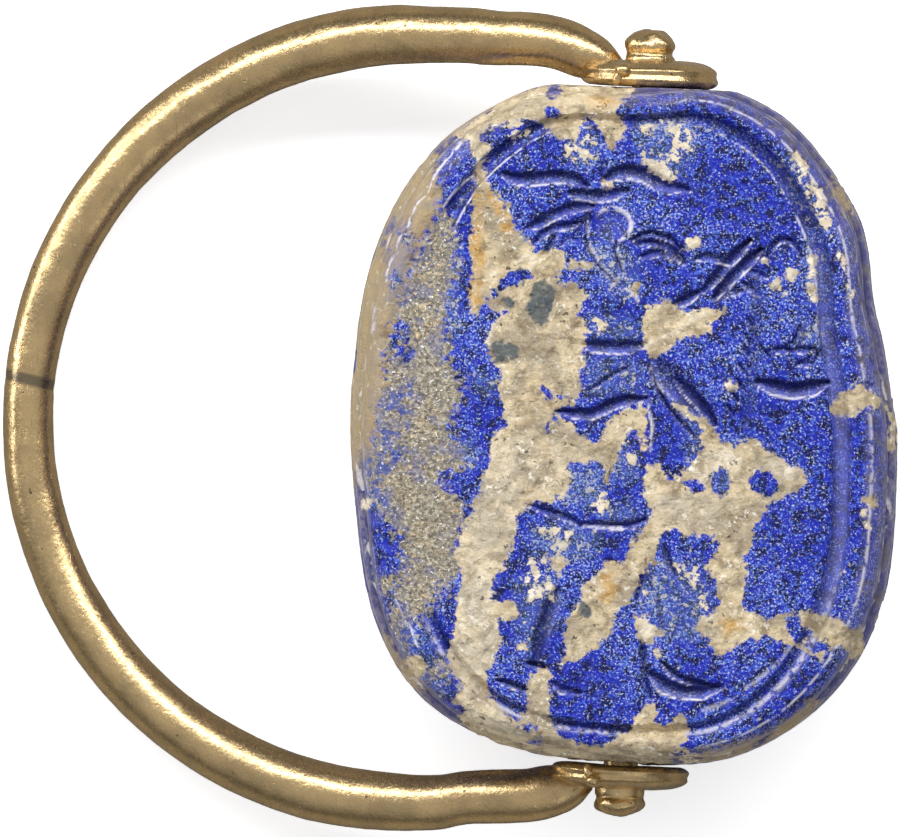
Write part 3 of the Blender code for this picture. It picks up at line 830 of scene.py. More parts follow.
# Areas where crumbs of calcite lie thick on the blue
CRUSTS = (
    (634, 127, 645, 118, 662, 116, 680, 119, 694, 127, 700, 142, 696, 154, 684, 160, 678, 168, 681,
     180, 670, 185, 656, 178, 646, 167, 638, 156, 636, 146, 648, 150, 660, 153, 671, 149, 672, 141,
     662, 136, 650, 140, 640, 138),
    (790, 152, 803, 158, 813, 174, 823, 194, 833, 220, 838, 240, 828, 240, 816, 216, 805, 197, 796,
     180, 788, 164),
    (806, 252, 816, 250, 819, 272, 816, 300, 806, 300),
    (564, 142, 584, 134, 598, 140, 598, 158, 584, 166, 566, 166),
    (706, 454, 728, 448, 742, 456, 736, 472, 722, 466, 716, 482, 706, 476),
    (626, 436, 640, 452, 636, 470, 624, 462, 618, 448),
    (500, 128, 512, 120, 528, 120, 534, 134, 520, 142, 504, 140),
    (586, 498, 602, 486, 612, 498, 604, 514, 590, 512),
    (764, 462, 784, 458, 796, 468, 790, 480, 772, 474),
    (838, 250, 846, 256, 852, 284, 848, 300, 840, 276),
    (524, 560, 536, 552, 552, 566, 554, 596, 544, 602, 528, 600, 522, 580),
    (534, 526, 556, 524, 576, 532, 572, 548, 556, 558, 544, 552),
    (668, 560, 690, 560, 704, 572, 700, 590, 712, 604, 716, 620, 700, 622, 690, 608, 696, 596, 684,
     580, 672, 574),
    (637, 610, 652, 612, 654, 636, 642, 638),
    (592, 318, 606, 314, 612, 326, 604, 338, 592, 334),
)

# Blue left bare inside the calcite
BLUE_ISLANDS = (
    (545, 92, 552, 84, 566, 84, 556, 97, 548, 101),
    (547, 108, 554, 107, 560, 114, 555, 120, 548, 117),
    (541, 384, 548, 391, 560, 397, 553, 400, 543, 397),
    (564, 398, 570, 397, 573, 405, 568, 405),
    (543, 430, 547, 423, 552, 432, 545, 435),
    (551, 419, 557, 417, 561, 424, 554, 424),
    (749, 481, 755, 472, 765, 469, 775, 477, 777, 488, 768, 497, 758, 495),
    (712, 478, 718, 467, 727, 471, 729, 485, 722, 496, 713, 490),
    (685, 485, 695, 479, 703, 486, 694, 493),
    (502, 207, 504, 203, 508, 205, 507, 209),
    (517, 727, 530, 722, 536, 728, 524, 732),
    (528, 745, 533, 738, 545, 740, 536, 748),
    (672, 754, 680, 750, 684, 756, 676, 759),
    (800, 642, 815, 640, 830, 645, 828, 652, 812, 651),
    (782, 620, 790, 616, 800, 622, 812, 636, 800, 642, 790, 636),
    (506, 651, 512, 648, 513, 660, 507, 662),
)

# The worn granular band at the left
GRANULAR_BAND = (
    (441, 212, 450, 222, 456, 240, 455, 262, 450, 285, 446, 300, 440, 318, 446, 335, 449, 350, 443,
     360, 452, 372, 460, 385, 458, 400, 452, 415, 450, 430, 458, 445, 463, 455, 460, 466, 443, 472,
     443, 486, 451, 496, 459, 506, 463, 520, 459, 540, 457, 560, 459, 575, 450, 584, 440, 590, 430,
     606, 420, 622, 408, 617, 398, 600, 396, 580, 404, 565, 401, 540, 396, 520, 384, 512, 370, 490,
     360, 468, 370, 448, 376, 425, 382, 400, 384, 370, 386, 348, 390, 325, 396, 302, 404, 285, 412,
     262, 421, 244, 431, 226),
    (383, 620, 396, 606, 410, 622, 400, 640, 405, 656, 390, 640),
    (425, 668, 440, 660, 452, 668, 440, 678, 428, 682),
    (372, 578, 392, 576, 396, 590, 384, 592),
)

# Blue left in the granular band
BLUE_IN_GRANULAR = (
    (389, 322, 398, 316, 408, 322, 404, 340, 392, 344),
    (393, 350, 404, 344, 418, 348, 416, 358, 400, 362),
    (402, 392, 407, 388, 408, 398, 403, 398),
    (376, 452, 390, 447, 405, 455, 406, 462, 392, 460),
)

# Blue left in the brown film
BLUE_IN_BROWN = (
    (400, 226, 405, 222, 412, 238, 409, 246, 401, 240),
    (390, 278, 396, 268, 405, 282, 404, 289, 393, 286),
    (386, 218, 392, 210, 396, 222, 388, 250, 384, 262),
)

# Brown film along the edge
BROWN_FILM = (
    (520, 60, 512, 92, 500, 99, 486, 108, 470, 119, 456, 134, 441, 150, 436, 170, 438, 186, 441,
     200, 436, 214, 428, 232, 418, 250, 410, 270, 402, 290, 396, 310, 390, 330, 386, 348, 384, 370,
     382, 395, 377, 425, 371, 447, 360, 470, 350, 476, 320, 470, 300, 300, 400, 60),
    (382, 640, 396, 650, 412, 668, 420, 690, 400, 700, 372, 650),
    (690, 755, 720, 748, 760, 738, 800, 712, 812, 700, 824, 708, 780, 760, 700, 790),
    (828, 168, 838, 172, 852, 200, 856, 215, 846, 215, 836, 195),
)

# Orange stains on the calcite
ORANGE_STAINS = (
    (472, 195, 482, 194, 485, 240, 483, 272, 481, 304, 471, 314, 466, 290, 469, 236),
    (585, 99, 610, 93, 617, 104, 602, 112, 588, 109),
    (488, 188, 500, 202, 505, 215, 498, 214, 486, 198),
    (600, 575, 612, 572, 616, 595, 606, 612, 600, 596),
    (481, 681, 488, 678, 492, 692, 484, 694),
    (716, 620, 740, 618, 745, 632, 722, 636),
    (497, 222, 512, 222, 512, 234, 500, 232),
)

# Dull grey-green stains on the calcite
GREEN_STAINS = (
    (532, 284, 545, 279, 557, 290, 552, 310, 546, 330, 535, 326, 527, 310),
    (490, 346, 500, 338, 518, 345, 519, 357, 505, 367, 495, 362),
    (512, 274, 520, 265, 531, 275, 522, 288),
    (532, 540, 548, 532, 570, 540, 575, 556, 552, 556, 536, 550),
    (500, 300, 508, 296, 518, 302, 510, 310),
    (580, 602, 592, 606, 594, 616, 586, 618, 577, 612),
    (456, 180, 470, 176, 477, 190, 462, 196),
)

# Areas where the blue is thin and mixed with pale grains
VEILS = (
    (632, 126, 645, 118, 680, 116, 694, 128, 700, 146, 690, 162, 678, 178, 664, 180, 648, 160, 636,
     150),
    (566, 140, 584, 134, 600, 142, 600, 160, 588, 168, 570, 164),
    (590, 244, 612, 240, 640, 262, 636, 300, 612, 296, 596, 270),
    (590, 312, 640, 322, 640, 345, 592, 345),
    (584, 356, 640, 358, 640, 394, 590, 396),
    (572, 466, 604, 466, 600, 505, 560, 503),
    (530, 525, 562, 522, 600, 535, 596, 556, 560, 560, 530, 552),
    (656, 560, 700, 566, 716, 600, 700, 640, 664, 640, 640, 600),
    (710, 452, 738, 452, 736, 476, 728, 498, 712, 496),
    (776, 158, 800, 163, 816, 198, 832, 225, 820, 236, 800, 206, 784, 190),
    (803, 248, 824, 254, 824, 298, 806, 304),
    (795, 320, 825, 322, 826, 345, 800, 345),
    (724, 438, 752, 438, 780, 458, 760, 470, 736, 452),
    (512, 578, 556, 575, 556, 625, 530, 660, 516, 640),
    (395, 600, 440, 660, 456, 690, 440, 700, 396, 650),
    (628, 500, 646, 520, 600, 528, 596, 512),
    (606, 440, 640, 452, 636, 480, 610, 484),
    (474, 372, 498, 376, 500, 392, 478, 398),
    (676, 405, 700, 420, 700, 452, 690, 462),
    (392, 250, 410, 248, 408, 300, 388, 300),
    (380, 392, 404, 388, 420, 398, 412, 420, 404, 446, 396, 462, 388, 480, 394, 505, 380, 520, 362,
     495, 356, 462, 372, 440, 377, 418),
    (398, 222, 412, 226, 412, 250, 404, 292, 390, 296, 390, 268, 396, 248),
    (443, 300, 452, 262, 460, 250, 458, 300, 462, 330, 450, 330),
    (455, 440, 470, 438, 480, 450, 474, 470, 458, 464),
)

# Thin lines: width, strength, and the x and y of each point

# Rubbed pale lines
SCRATCHES = (
    (2.1, 1.0, 462, 140, 440, 168, 428, 186, 416, 206, 408, 221, 400, 236, 393, 255, 388, 270, 386,
     281),
    (2.3, 0.9, 476, 174, 462, 183, 452, 195, 441, 210),
    (3.5, 0.4, 441, 210, 433, 224, 427, 237, 418, 255, 410, 278),
    (2.2, 1.0, 410, 625, 414, 637, 419, 650),
    (2.0, 0.7, 395, 600, 405, 622, 410, 628),
    (4.5, 0.6, 374, 305, 375, 318, 373, 332),
    (5.0, 0.5, 698, 712, 725, 702, 752, 684, 775, 665, 790, 648),
    (3.0, 0.8, 648, 405, 652, 425, 650, 450),
    (2.5, 0.8, 584, 526, 604, 528, 632, 527),
    (2.6, 1.0, 588, 222, 589, 243, 602, 266, 617, 282, 635, 295),
    (2.4, 0.9, 614, 240, 622, 263, 625, 279, 638, 302),
    (2.2, 0.8, 566, 306, 572, 318, 576, 331),
    (2.2, 0.7, 640, 600, 644, 620, 650, 640),
)

# Dark cracks and small pits
DARK_MARKS = (
    (2.6, 1.0, 530, 421, 532, 430, 536, 440, 538, 451),
    (3.5, 0.9, 503, 730, 507, 732),
    (3.0, 0.9, 462, 709, 464, 711),
    (3.0, 0.9, 520, 728, 522, 728),
    (5.0, 0.9, 478, 136, 486, 134, 492, 132),
    (6.0, 0.7, 703, 441, 720, 443),
    (6.0, 0.8, 676, 388, 688, 402, 697, 412),
    (4.0, 0.7, 658, 600, 660, 615, 662, 628),
)

# Painted highlights along the calcite's raised edges, and on its two broad ridges
LIT_CRUST_EDGES = (
    (4.0, 1.0, 507, 311, 499, 317, 493, 327, 489, 338, 490, 348),
    (3.5, 0.9, 492, 431, 500, 427, 508, 423),
    (4.0, 0.9, 520, 262, 528, 256, 534, 262, 530, 272, 520, 282),
    (3.5, 0.9, 530, 508, 550, 512, 570, 517, 590, 524),
    (5.0, 0.8, 604, 408, 620, 410, 640, 404),
    (5.0, 0.6, 470, 310, 480, 316, 488, 322),
    (3.0, 0.7, 622, 745, 640, 738, 652, 744, 668, 740),
    (4.0, 0.7, 655, 505, 668, 498, 680, 502),
    (5.0, 0.6, 464, 128, 470, 140, 478, 152, 482, 164),
    (3.0, 0.7, 560, 258, 572, 254, 590, 268, 600, 280),
    (4.0, 0.5, 575, 585, 590, 578, 600, 590),
    (4.0, 0.6, 645, 345, 668, 335, 690, 322, 708, 312),
    (4.0, 0.7, 690, 470, 704, 478, 716, 470),
    (5.0, 0.6, 462, 560, 480, 568, 470, 590, 476, 610),
    (46.0, 0.4, 506, 462, 492, 530, 480, 610, 474, 680, 488, 730),
    (40.0, 0.3, 560, 470, 600, 500, 640, 510, 700, 520),
)


def outline_depth(sheet, outlines, spread=40.0):
    """Millimetres inside the nearest of the outlines, below zero outside them."""
    best = np.full(len(sheet), -spread)
    for flat in outlines:
        corners = np.reshape(flat, (-1, 2)).astype(float)
        low = corners.min(axis=0) - spread
        high = corners.max(axis=0) + spread
        close = np.flatnonzero(((sheet >= low) & (sheet <= high)).all(axis=1))
        spots = sheet[close]
        nearest = np.full(len(close), spread)
        inside = np.zeros(len(close), bool)
        for start, end in zip(corners, np.roll(corners, -1, axis=0)):
            way = end - start
            part = np.clip((spots - start) @ way / (way @ way), 0.0, 1.0)
            apart = spots - start - part[:, None] * way
            nearest = np.minimum(nearest, np.hypot(apart[:, 0], apart[:, 1]))
            passed = (start[1] > spots[:, 1]) != (end[1] > spots[:, 1])
            rise = way[1] if way[1] else 1e-9
            crossing = start[0] + (spots[:, 1] - start[1]) * way[0] / rise
            inside ^= passed & (spots[:, 0] < crossing)
        best[close] = np.maximum(best[close], np.where(inside, nearest, -nearest))
    return best * STEP


def spot_depth(sheet, spots):
    """Millimetres inside the nearest of the round spots, below zero outside them."""
    best = np.full(len(sheet), -1.0)
    for x, y, radius in spots:
        best = np.maximum(best, (radius - np.hypot(sheet[:, 0] - x, sheet[:, 1] - y)) * STEP)
    return best


# Carving of the beetle

def on_dome(across, lengthwise):
    """A point of the domed back, given as shares of the half width and half length."""
    plan = np.array([[across * HALF_WIDTH, lengthwise * HALF_LENGTH]])
    radius = section_radius(plan, CROWN_LEVEL)
    return (plan[0, 0], plan[0, 1], float(dome_level(radius)[0]))


def beetle_lines():
    """Neck and brow, the line between the wing cases, and each side's case, jaw and shoulder."""
    neck = [(x / 8 * 0.86, 0.30 - 0.05 * (x / 8) ** 2) for x in range(-8, 9)]
    brow = [(x / 5 * 0.52, 0.64 + 0.03 * (x / 5) ** 2) for x in range(-5, 6)]
    suture = [(0.0, 0.27 - step * 0.0675) for step in range(17)]
    lines = [neck, brow, suture]
    for side in (-1, 1):
        lines.append([(side * 0.50 * math.cos(step * 0.12), 0.20 - step * 0.0775)
                      for step in range(11)])
        lines.append([(side * 0.30, 0.67), (side * 0.21, 0.75), (side * 0.17, 0.82)])
        lines.append([(side * 0.80, 0.12), (side * 0.66, 0.17), (side * 0.62, 0.25)])
    return [[on_dome(*spot) for spot in line] for line in lines]


def leg_cuts():
    """Three slanted cuts down each flank, at these directions in degrees."""
    cuts = []
    for turn in (38.0, 4.0, -34.0, 142.0, 176.0, 214.0):
        side = 1 if math.cos(math.radians(turn)) > 0 else -1
        cut = []
        for step in range(9):
            level = LEG_TOP - LEG_ZONE * (0.30 + 0.075 * step)
            slant = np.array([math.radians(turn + side * 1.9 * step)])
            spot = oval_points(slant, bare_flank(level), level)[0]
            cut.append((spot[0], spot[1], level))
        cuts.append(cut)
    return cuts


def carve_depth(points, lines, size):
    """Depth of round grooves of one (width, depth) along lines in space."""
    width, depth = size
    carved = np.zeros(len(points))
    for line in lines:
        found, distance, _, share = nearest_on(points, line, width)
        bowl = np.clip(1.0 - (distance / (width / 2 * taper(share))) ** 2, 0.0, 1.0) ** 0.8
        carved[found] = np.maximum(carved[found], depth * bowl)
    return carved


def upper_part(level):
    """1 on the seal face and the edge below it, 0 on the flank."""
    return smooth_step((level - 2.6) / 0.8)


def stone_fields(points, sheet, level):
    """Where the other kinds of stone lie: depths in millimetres inside each, or shares."""
    seen = smooth_step((level + 0.4 + 1.9 * clouds(points, "worn fringe")) / 1.3)
    upper = upper_part(level)
    wobble, drift = (np.stack([clouds(points, name + way) for way in (" across", " down")], axis=1)
                     for name in ("wobble", "drift"))
    low_drift = DRIFT * np.clip(3.0 - level, 0.0, 3.0)[:, None]
    ragged = sheet + wobble * WOBBLE + drift * low_drift
    spots = spot_depth(ragged, PALE_SPOTS)
    calcite = np.maximum(outline_depth(ragged, CALCITE), spots)
    calcite, granular, brown = (
        np.minimum(depth, -outline_depth(ragged, islands))
        for depth, islands in ((calcite, BLUE_ISLANDS),
                               (outline_depth(ragged, GRANULAR_BAND), BLUE_IN_GRANULAR),
                               (outline_depth(ragged, BROWN_FILM), BLUE_IN_BROWN)))
    veins = (clouds(points, "veins") - 0.22) * 0.9
    # The painted highlights on the calcite's edges and ridges join its white spots
    ridges = line_field(ragged, LIT_CRUST_EDGES) * (level > EDGE_LEVEL - 0.3)
    fields = {
        "calcite": calcite * seen + veins * (1.0 - seen),
        "granular": granular * upper - 0.6 * (1.0 - upper),
        "brown": brown * seen - 0.5 * (1.0 - seen),
        "white": np.maximum(smooth_step(spots / 0.10 + 0.6) * seen, ridges),
        "scratch": line_field(sheet + wobble * 0.8, SCRATCHES) * seen,
    }
    for name, outlines, softness in (("orange", ORANGE_STAINS, 0.20), ("green", GREEN_STAINS, 0.10),
                                     ("veil", VEILS, 0.25), ("crust", CRUSTS, 0.16)):
        depth = outline_depth(ragged, outlines)
        fields[name] = smooth_step(depth / (2 * softness) + 0.5) * seen
    return fields


def carve_stone(mesh, settings):
    """Cuts, wears and roughens the smooth stone, and writes the fields that its colours follow."""
    points = read_points(mesh)
    sheet = on_sheet(points)
    level = points[:, 2]
    top = level > EDGE_LEVEL - 0.02
    upper = upper_part(level)
    direction = np.arctan2(points[:, 1], points[:, 0])
    radius = np.full(len(points), HALF_WIDTH)
    radius[top] = section_radius(points[top, :2], EDGE_LEVEL)
    fields = stone_fields(points, sheet, level)

    cut, shade, floor, lit_lip = (np.zeros(len(points)) for _ in range(4))
    cut[top], shade[top], floor[top], lit_lip[top] = stroke_fields(sheet[top])
    worn_band = smooth_step(fields["granular"] / 0.4 + 0.8) * upper
    kept = (1.0 - 0.8 * worn_band) * top
    groove, lit_rims, groove_shade = (part * kept for part in border_fields(radius, direction))
    sink, rim = (part * top for part in head_fields(sheet))
    legs = carve_depth(points, leg_cuts(), LEG_CUT)
    lines = carve_depth(points, beetle_lines(), BEETLE_LINE)

    lumps = clouds(points, "calcite lumps")
    inside = smooth_step(fields["calcite"] / 0.16 + 0.5)
    chips = np.clip(clouds(points, "chips") - 0.35, 0.0, 1.0) * bell(radius, 7.25, 0.35) * top
    raised = -settings.stroke_depth / MM * np.maximum(cut, 0.8 * sink)
    raised -= settings.border_depth / MM * groove
    raised += LIP_HEIGHT * (lit_lip + rim + 0.7 * lit_rims)
    raised += inside * (CALCITE_LUMPS * lumps - CALCITE_SINK + WHITE_RISE * fields["white"])
    raised += CRUST_LUMPS * fields["crust"] * clouds(points, "crust lumps")
    raised += WAVES * clouds(points, "slow waves") + worn_band * (BAND_LUMPS * lumps - BAND_SINK)
    raised -= CHIP_DEPTH * chips
    raised -= legs + lines
    raised += FINE_WEAR * clouds(points, "fine wear")
    raised *= 1.0 - smooth_step((CROWN_LEVEL + FLAT_KEEP - level) / 0.08)
    raise_surface(mesh, raised)
    moved = read_points(mesh)
    limit = PAD_INNER - 0.03
    moved[:, 1] = np.clip(moved[:, 1], -limit, limit)
    write_points(mesh, moved)

    on_legs = (level < PLATE_FOOT[1]) & (level > LEG_BOTTOM)
    phase = leg_phase(level) * on_legs
    crest = bell(phase, 0.5, 0.08) * on_legs
    valley = smooth_step((0.30 - np.minimum(phase, 1.0 - phase)) / 0.25) * on_legs
    right_edge = bell(radius, 7.17, 0.050) * top * smooth_step(3.0 * np.cos(direction) + 0.6) * 0.8
    pale = 0.30 + 0.65 * right_side(direction)
    bare = smooth_step(0.3 + 1.6 * (np.cos(direction) + np.sin(direction)))
    bare *= 0.50 * smooth_step((radius - 6.85) / 0.35)
    marks = line_field(sheet, DARK_MARKS) * top
    # Painted shade on the strokes' upper walls, in the border groove, the leg cuts and the beetle's
    # lines and between the leg ridges, with the dark cracks and pits
    fields["shade"] = np.maximum.reduce((shade, 0.8 * groove_shade, legs / LEG_CUT[1],
                                         lines / BEETLE_LINE[1], 0.8 * valley, marks))
    # Polish with painted sheen: the strokes' lit lower floors, the head's sink, and the border groove,
    # paler on the far side and less where it holds painted shade
    fields["polish_and_sheen"] = np.maximum.reduce((floor, 0.35 * sink, pale * groove - groove_shade))
    # Rubbed wear on the ridge crests, scratches and the far edge, with painted highlights on the
    # strokes' lips, the head's rim and the groove's rims
    fields["rubbed_and_lit"] = np.maximum.reduce((lit_lip, rim, 0.9 * lit_rims, right_edge, 0.6 * crest,
                                          fields.pop("scratch")))
    fields["flank"] = np.maximum(1.0 - upper, bare)
    for name, values in fields.items():
        write_field(mesh, name, values)


def bar_along_pin(length):
    """A closed round bar of the bore's size on the pin's line, in metres."""
    work = bmesh.new()
    bmesh.ops.create_cone(work, cap_ends=True, segments=BORE_SIDES, radius1=BORE_RADIUS * MM,
                          radius2=BORE_RADIUS * MM, depth=length * MM)
    bmesh.ops.rotate(work, verts=work.verts, matrix=Matrix.Rotation(math.pi / 2, 3, "X"))
    bmesh.ops.translate(work, verts=work.verts, vec=PIN_LINE)
    return mesh_from(work, "bar")


# Hoop and pin

def wire_radius(turn):
    """Radius of the wire: thin at the back, thickest at the shoulders, thinner at its ends."""
    grown = float(smooth_step(turn / SHOULDER_TURN))
    if turn <= SHOULDER_TURN:
        return between(BACK_RADIUS, SHOULDER_RADIUS, grown)
    thinned = float(smooth_step((turn - SHOULDER_TURN) / (END_TURN - SHOULDER_TURN)))
    return between(SHOULDER_RADIUS, END_RADIUS, thinned)


def half_hoop():
    """Places and radii of the wire from the hoop's back to the toe on the +Y pad."""
    knots = []
    for step in range(ARC_STEPS + 1):
        turn = ARC_END * step / ARC_STEPS
        radius = wire_radius(turn)
        angle = math.radians(turn)
        knots.append((-HOOP_CENTRE - (FINGER_REACH - HOOP_CENTRE + radius) * math.cos(angle),
                      (FINGER_SPAN / 2 + radius) * math.sin(angle), radius))
    middle = (PAD_INNER + PAD_OUTER) / 2
    for back, rise, thickness in TOE_KNOTS:
        knots.append((-back * PAD_RADIUS, middle + rise * END_RADIUS, thickness * END_RADIUS))
    return knots


def smooth_path(knots, parts):
    """A smooth line through the knots, each stretch cut in this many parts."""
    knots = np.asarray(knots, float)
    padded = np.vstack((2 * knots[0] - knots[1], knots, 2 * knots[-1] - knots[-2]))
    rows = []
    for number in range(1, len(padded) - 2):
        before, start, end, after = padded[number - 1:number + 3]
        for part in range(parts):
            t = part / parts
            rows.append(0.5 * (2 * start + (end - before) * t
                               + (2 * before - 5 * start + 4 * end - after) * t ** 2
                               + (3 * start - before - 3 * end + after) * t ** 3))
    rows.append(padded[-2])
    return np.array(rows)


def tube_mesh(path):
    """A closed round wire along a row of (x, y, radius) in the hoop's plane."""
    work = bmesh.new()
    ring = bmesh.ops.create_circle(work, segments=WIRE_SIDES, radius=1.0)["verts"]
    edges = list({edge for vertex in ring for edge in vertex.link_edges})
    bmesh.ops.contextual_create(work, geom=edges)
    rings = [ring]
    for _ in path[1:]:
        edges, fresh = fresh_parts(bmesh.ops.extrude_edge_only(work, edges=edges)["geom"])
        rings.append(fresh)
    bmesh.ops.contextual_create(work, geom=edges)
    ways = np.gradient(path[:, :2], axis=0)
    angle_of = [math.atan2(vertex.co.y, vertex.co.x) for vertex in ring]
    for (x, y, radius), way, members in zip(path, ways, rings):
        way = way / np.linalg.norm(way)
        for angle, vertex in zip(angle_of, members):
            out = radius * math.cos(angle)
            vertex.co = (x + way[1] * out, y - way[0] * out, radius * math.sin(angle))
    bmesh.ops.recalc_face_normals(work, faces=work.faces)
    return mesh_from(work, "wire")


def turned_mesh(profile, steps):
    """A profile of (radius, height) pairs turned about the pin's line."""
    work = bmesh.new()
    row = [work.verts.new((radius, height, 0.0)) for radius, height in profile]
    edges = [work.edges.new(pair) for pair in zip(row, row[1:])]
    bmesh.ops.spin(work, geom=row + edges, axis=(0.0, 1.0, 0.0), cent=(0.0, 0.0, 0.0),
                   angle=math.tau, steps=steps, use_merge=True)
    bmesh.ops.remove_doubles(work, verts=work.verts, dist=1e-5)
    bmesh.ops.recalc_face_normals(work, faces=work.faces)
    return mesh_from(work, "turning")


def pad_profile(side):
    """Round pad: domed outer face and a round rim with a faint channel, drawn in at its foot."""
    thickness = (PAD_OUTER - PAD_INNER) * (1.0 if side > 0 else LOWER_PAD_SHARE)
    knots = [(radius * PAD_RADIUS, side * (PAD_INNER + height * thickness))
             for radius, height in PAD_KNOTS]
    rows = [tuple(row) for row in smooth_path(knots[1:-1], 3)]
    return [knots[0]] + rows + [knots[-1], (0.0, knots[-1][1])]


def head_profile(side):
    """A lumpy rivet head with a rough foot, from its tip inwards."""
    knots = [(radius * HEAD_RADIUS, side * (HEAD_BASE + height * HEAD_HEIGHT))
             for radius, height in HEAD_KNOTS]
    rows = [tuple(row) for row in smooth_path(knots, 3)]
    rows[0] = (0.0, rows[0][1])
    return rows


def dent(mesh, height, name):
    """Moves the surface in and out by soft noise."""
    raise_surface(mesh, height * clouds(read_points(mesh), name))


def lump_mesh(radius, stretch, way, place):
    """A round lump, stretched and turned from upright to point this way."""
    work = bmesh.new()
    bmesh.ops.create_icosphere(work, subdivisions=4, radius=radius)
    bmesh.ops.scale(work, vec=stretch, verts=work.verts)
    turn = Vector((0.0, 0.0, 1.0)).rotation_difference(way).to_matrix()
    bmesh.ops.rotate(work, verts=work.verts, matrix=turn)
    bmesh.ops.translate(work, vec=place, verts=work.verts)
    return mesh_from(work, "lump")


def lean_pad(mesh):
    """Slants the pad's outer face and leaves its inner face where it is."""
    points = read_points(mesh)
    share = smooth_step((points[:, 1] - PAD_INNER) / (PAD_OUTER - PAD_INNER))
    points[:, 1] += PAD_LEAN * points[:, 0] * share
    write_points(mesh, points)


def join_seam(mesh):
    """A shallow slanted groove across the hoop's back, where the wire was joined."""
    x, y, _ = read_points(mesh).T
    groove = bell(y + SEAM_SLANT * (x - SEAM_BACK), SEAM_PLACE, SEAM_WIDTH) * (x < SEAM_BACK + 2.0)
    raise_surface(mesh, -SEAM_DEPTH * groove)


def on_pad(place, side):
    """A place whose Y is measured from this side's inner pad face."""
    return Vector((place[0], side * (PAD_INNER + place[1]), place[2]))


def make_hoop(settings):
    """Wire, pads, bosses and ribs as one body, bored for the pin."""
    half = smooth_path(half_hoop(), 8)
    mirrored = half[:0:-1] * np.array((1.0, -1.0, 1.0))
    wire = tube_mesh(np.vstack((mirrored, half)))
    dent(wire, settings.hammering / MM, "wide dents")
    dent(wire, settings.hammering / MM * 0.35, "small dents")
    join_seam(wire)
    hoop = add_piece("hoop_gold", wire)
    up = Vector((0.0, 0.0, 1.0))
    for side in (1, -1):
        pad = turned_mesh(pad_profile(side), PAD_STEPS)
        dent(pad, PAD_DENTS, "upper pad" if side > 0 else "lower pad")
        if side > 0:
            lean_pad(pad)
        boss = lump_mesh(1.0, BOSS_SIZE, up, on_pad(BOSS_PLACE, side))
        start, end = on_pad(RIB_START, side), on_pad(RIB_END, side)
        stretch = (1.0, 1.0, (end - start).length / 2 / RIB_RADIUS + RIB_OVERLAP)
        rib = lump_mesh(RIB_RADIUS, stretch, end - start, (start + end) / 2)
        for name, mesh in (("pad", pad), ("boss", boss), ("rib", rib)):
            join_solids(hoop, name, mesh, "UNION")
    write_points(hoop.data, hoop_to_frame(read_points(hoop.data)))
    join_solids(hoop, "bore", bar_along_pin(2.4 * PAD_OUTER), "DIFFERENCE")
    return hoop


def make_pin():
    """The pin, whose two heads are lumpy, the lower one longer on its left."""
    foot = HEAD_BASE + HEAD_FOOT * HEAD_HEIGHT
    shaft = [(PIN_RADIUS, foot), (PIN_RADIUS, 0.0), (PIN_RADIUS, -foot)]
    mesh = turned_mesh(head_profile(1) + shaft + head_profile(-1)[::-1], HEAD_STEPS)
    points = read_points(mesh)
    outside = smooth_step((np.abs(points[:, 1]) - HEAD_BASE) / 0.12)
    lumps = HEAD_LUMPS * clouds(points, "head lumps") + HEAD_GRAIN * clouds(points, "head grain")
    raise_surface(mesh, outside * lumps)
    points = read_points(mesh)
    height = np.maximum(np.abs(points[:, 1]) - HEAD_BASE, 0.0)
    even, slant = LOWER_HEAD_STRETCH
    lower_stretch = even + slant * np.clip(points[:, 0] - 0.1, 0.0, 0.6)
    stretch = np.where(points[:, 1] > 0, UPPER_HEAD_STRETCH, lower_stretch)
    points[:, 1] += np.sign(points[:, 1]) * height * stretch
    write_points(mesh, hoop_to_frame(points))
    return add_piece("pin_gold", mesh)


# Materials. A grain is noise: bumps per millimetre, octaves and the two limits of its mask, which
# are left out where only its height is read.

BLUE_GRAINS = {
    "dark patches": (2.8, 4.0, 0.44, 0.58),
    "wide areas": (0.55, 4.0, 0.38, 0.62),
    "light grains": (9.0, 2.0),
    "bright grains": (15.0, 2.0),
    "flecks": (5.0, 3.0),
    "fleck groups": (1.2, 3.0, 0.40, 0.58),
    "mottling": (2.4, 3.0, 0.42, 0.62),
    "olive film": (1.2, 3.0, 0.52, 0.62),
}
CREAM_GRAINS = {
    "clouds": (1.1, 5.0, 0.40, 0.60),
    "grey clouds": (0.8, 4.0, 0.48, 0.60),
    "crumbs": (6.5, 3.0, 0.54, 0.65),
    "crumb groups": (1.3, 4.0, 0.46, 0.64),
    "shadows": (2.2, 4.0, 0.50, 0.67),
    "pits": (4.0, 3.0, 0.65, 0.69),
    "stain edges": (3.0, 3.0),
}
BAND_GRAINS = {
    "sand": (8.5, 2.0, 0.46, 0.61),
    "dark sand": (10.0, 2.0, 0.50, 0.60),
    "blue cast": (1.3, 4.0, 0.50, 0.62),
    "warm areas": (0.9, 4.0, 0.46, 0.58),
    "glints": (8.0, 3.0, 0.60, 0.66),
    "glint groups": (0.8, 3.0, 0.44, 0.56),
    "sparks": (9.0, 2.0, 0.635, 0.685),
    "mottling": (3.6, 4.0, 0.42, 0.58),
}
STONE_GRAINS = {
    "coarse edges": (1.6, 4.0),
    "fine edges": (5.5, 3.0),
    "speckle": (9.0, 2.0),
    "polish": (16.0, 1.0),
    "film specks": (5.0, 3.0, 0.60, 0.69),
    "rubbing": (3.6, 4.0, 0.35, 0.53),
    "line drift": (0.55, 2.0),
    "line gaps": (1.9, 3.0, 0.47, 0.56),
    "crust clumps": (4.2, 4.0),
}
GOLD_GRAINS = {
    "film": (0.9, 6.0, 0.36, 0.66),
    "satin": (9.0, 4.0, 0.40, 0.66),
    "pits": (5.5, 2.0, 0.70, 0.76),
    "glints": (6.5, 2.0, 0.72, 0.75),
}
FILM_STREAKS = {"streaks": (1.3, 4.0, 0.42, 0.64)}
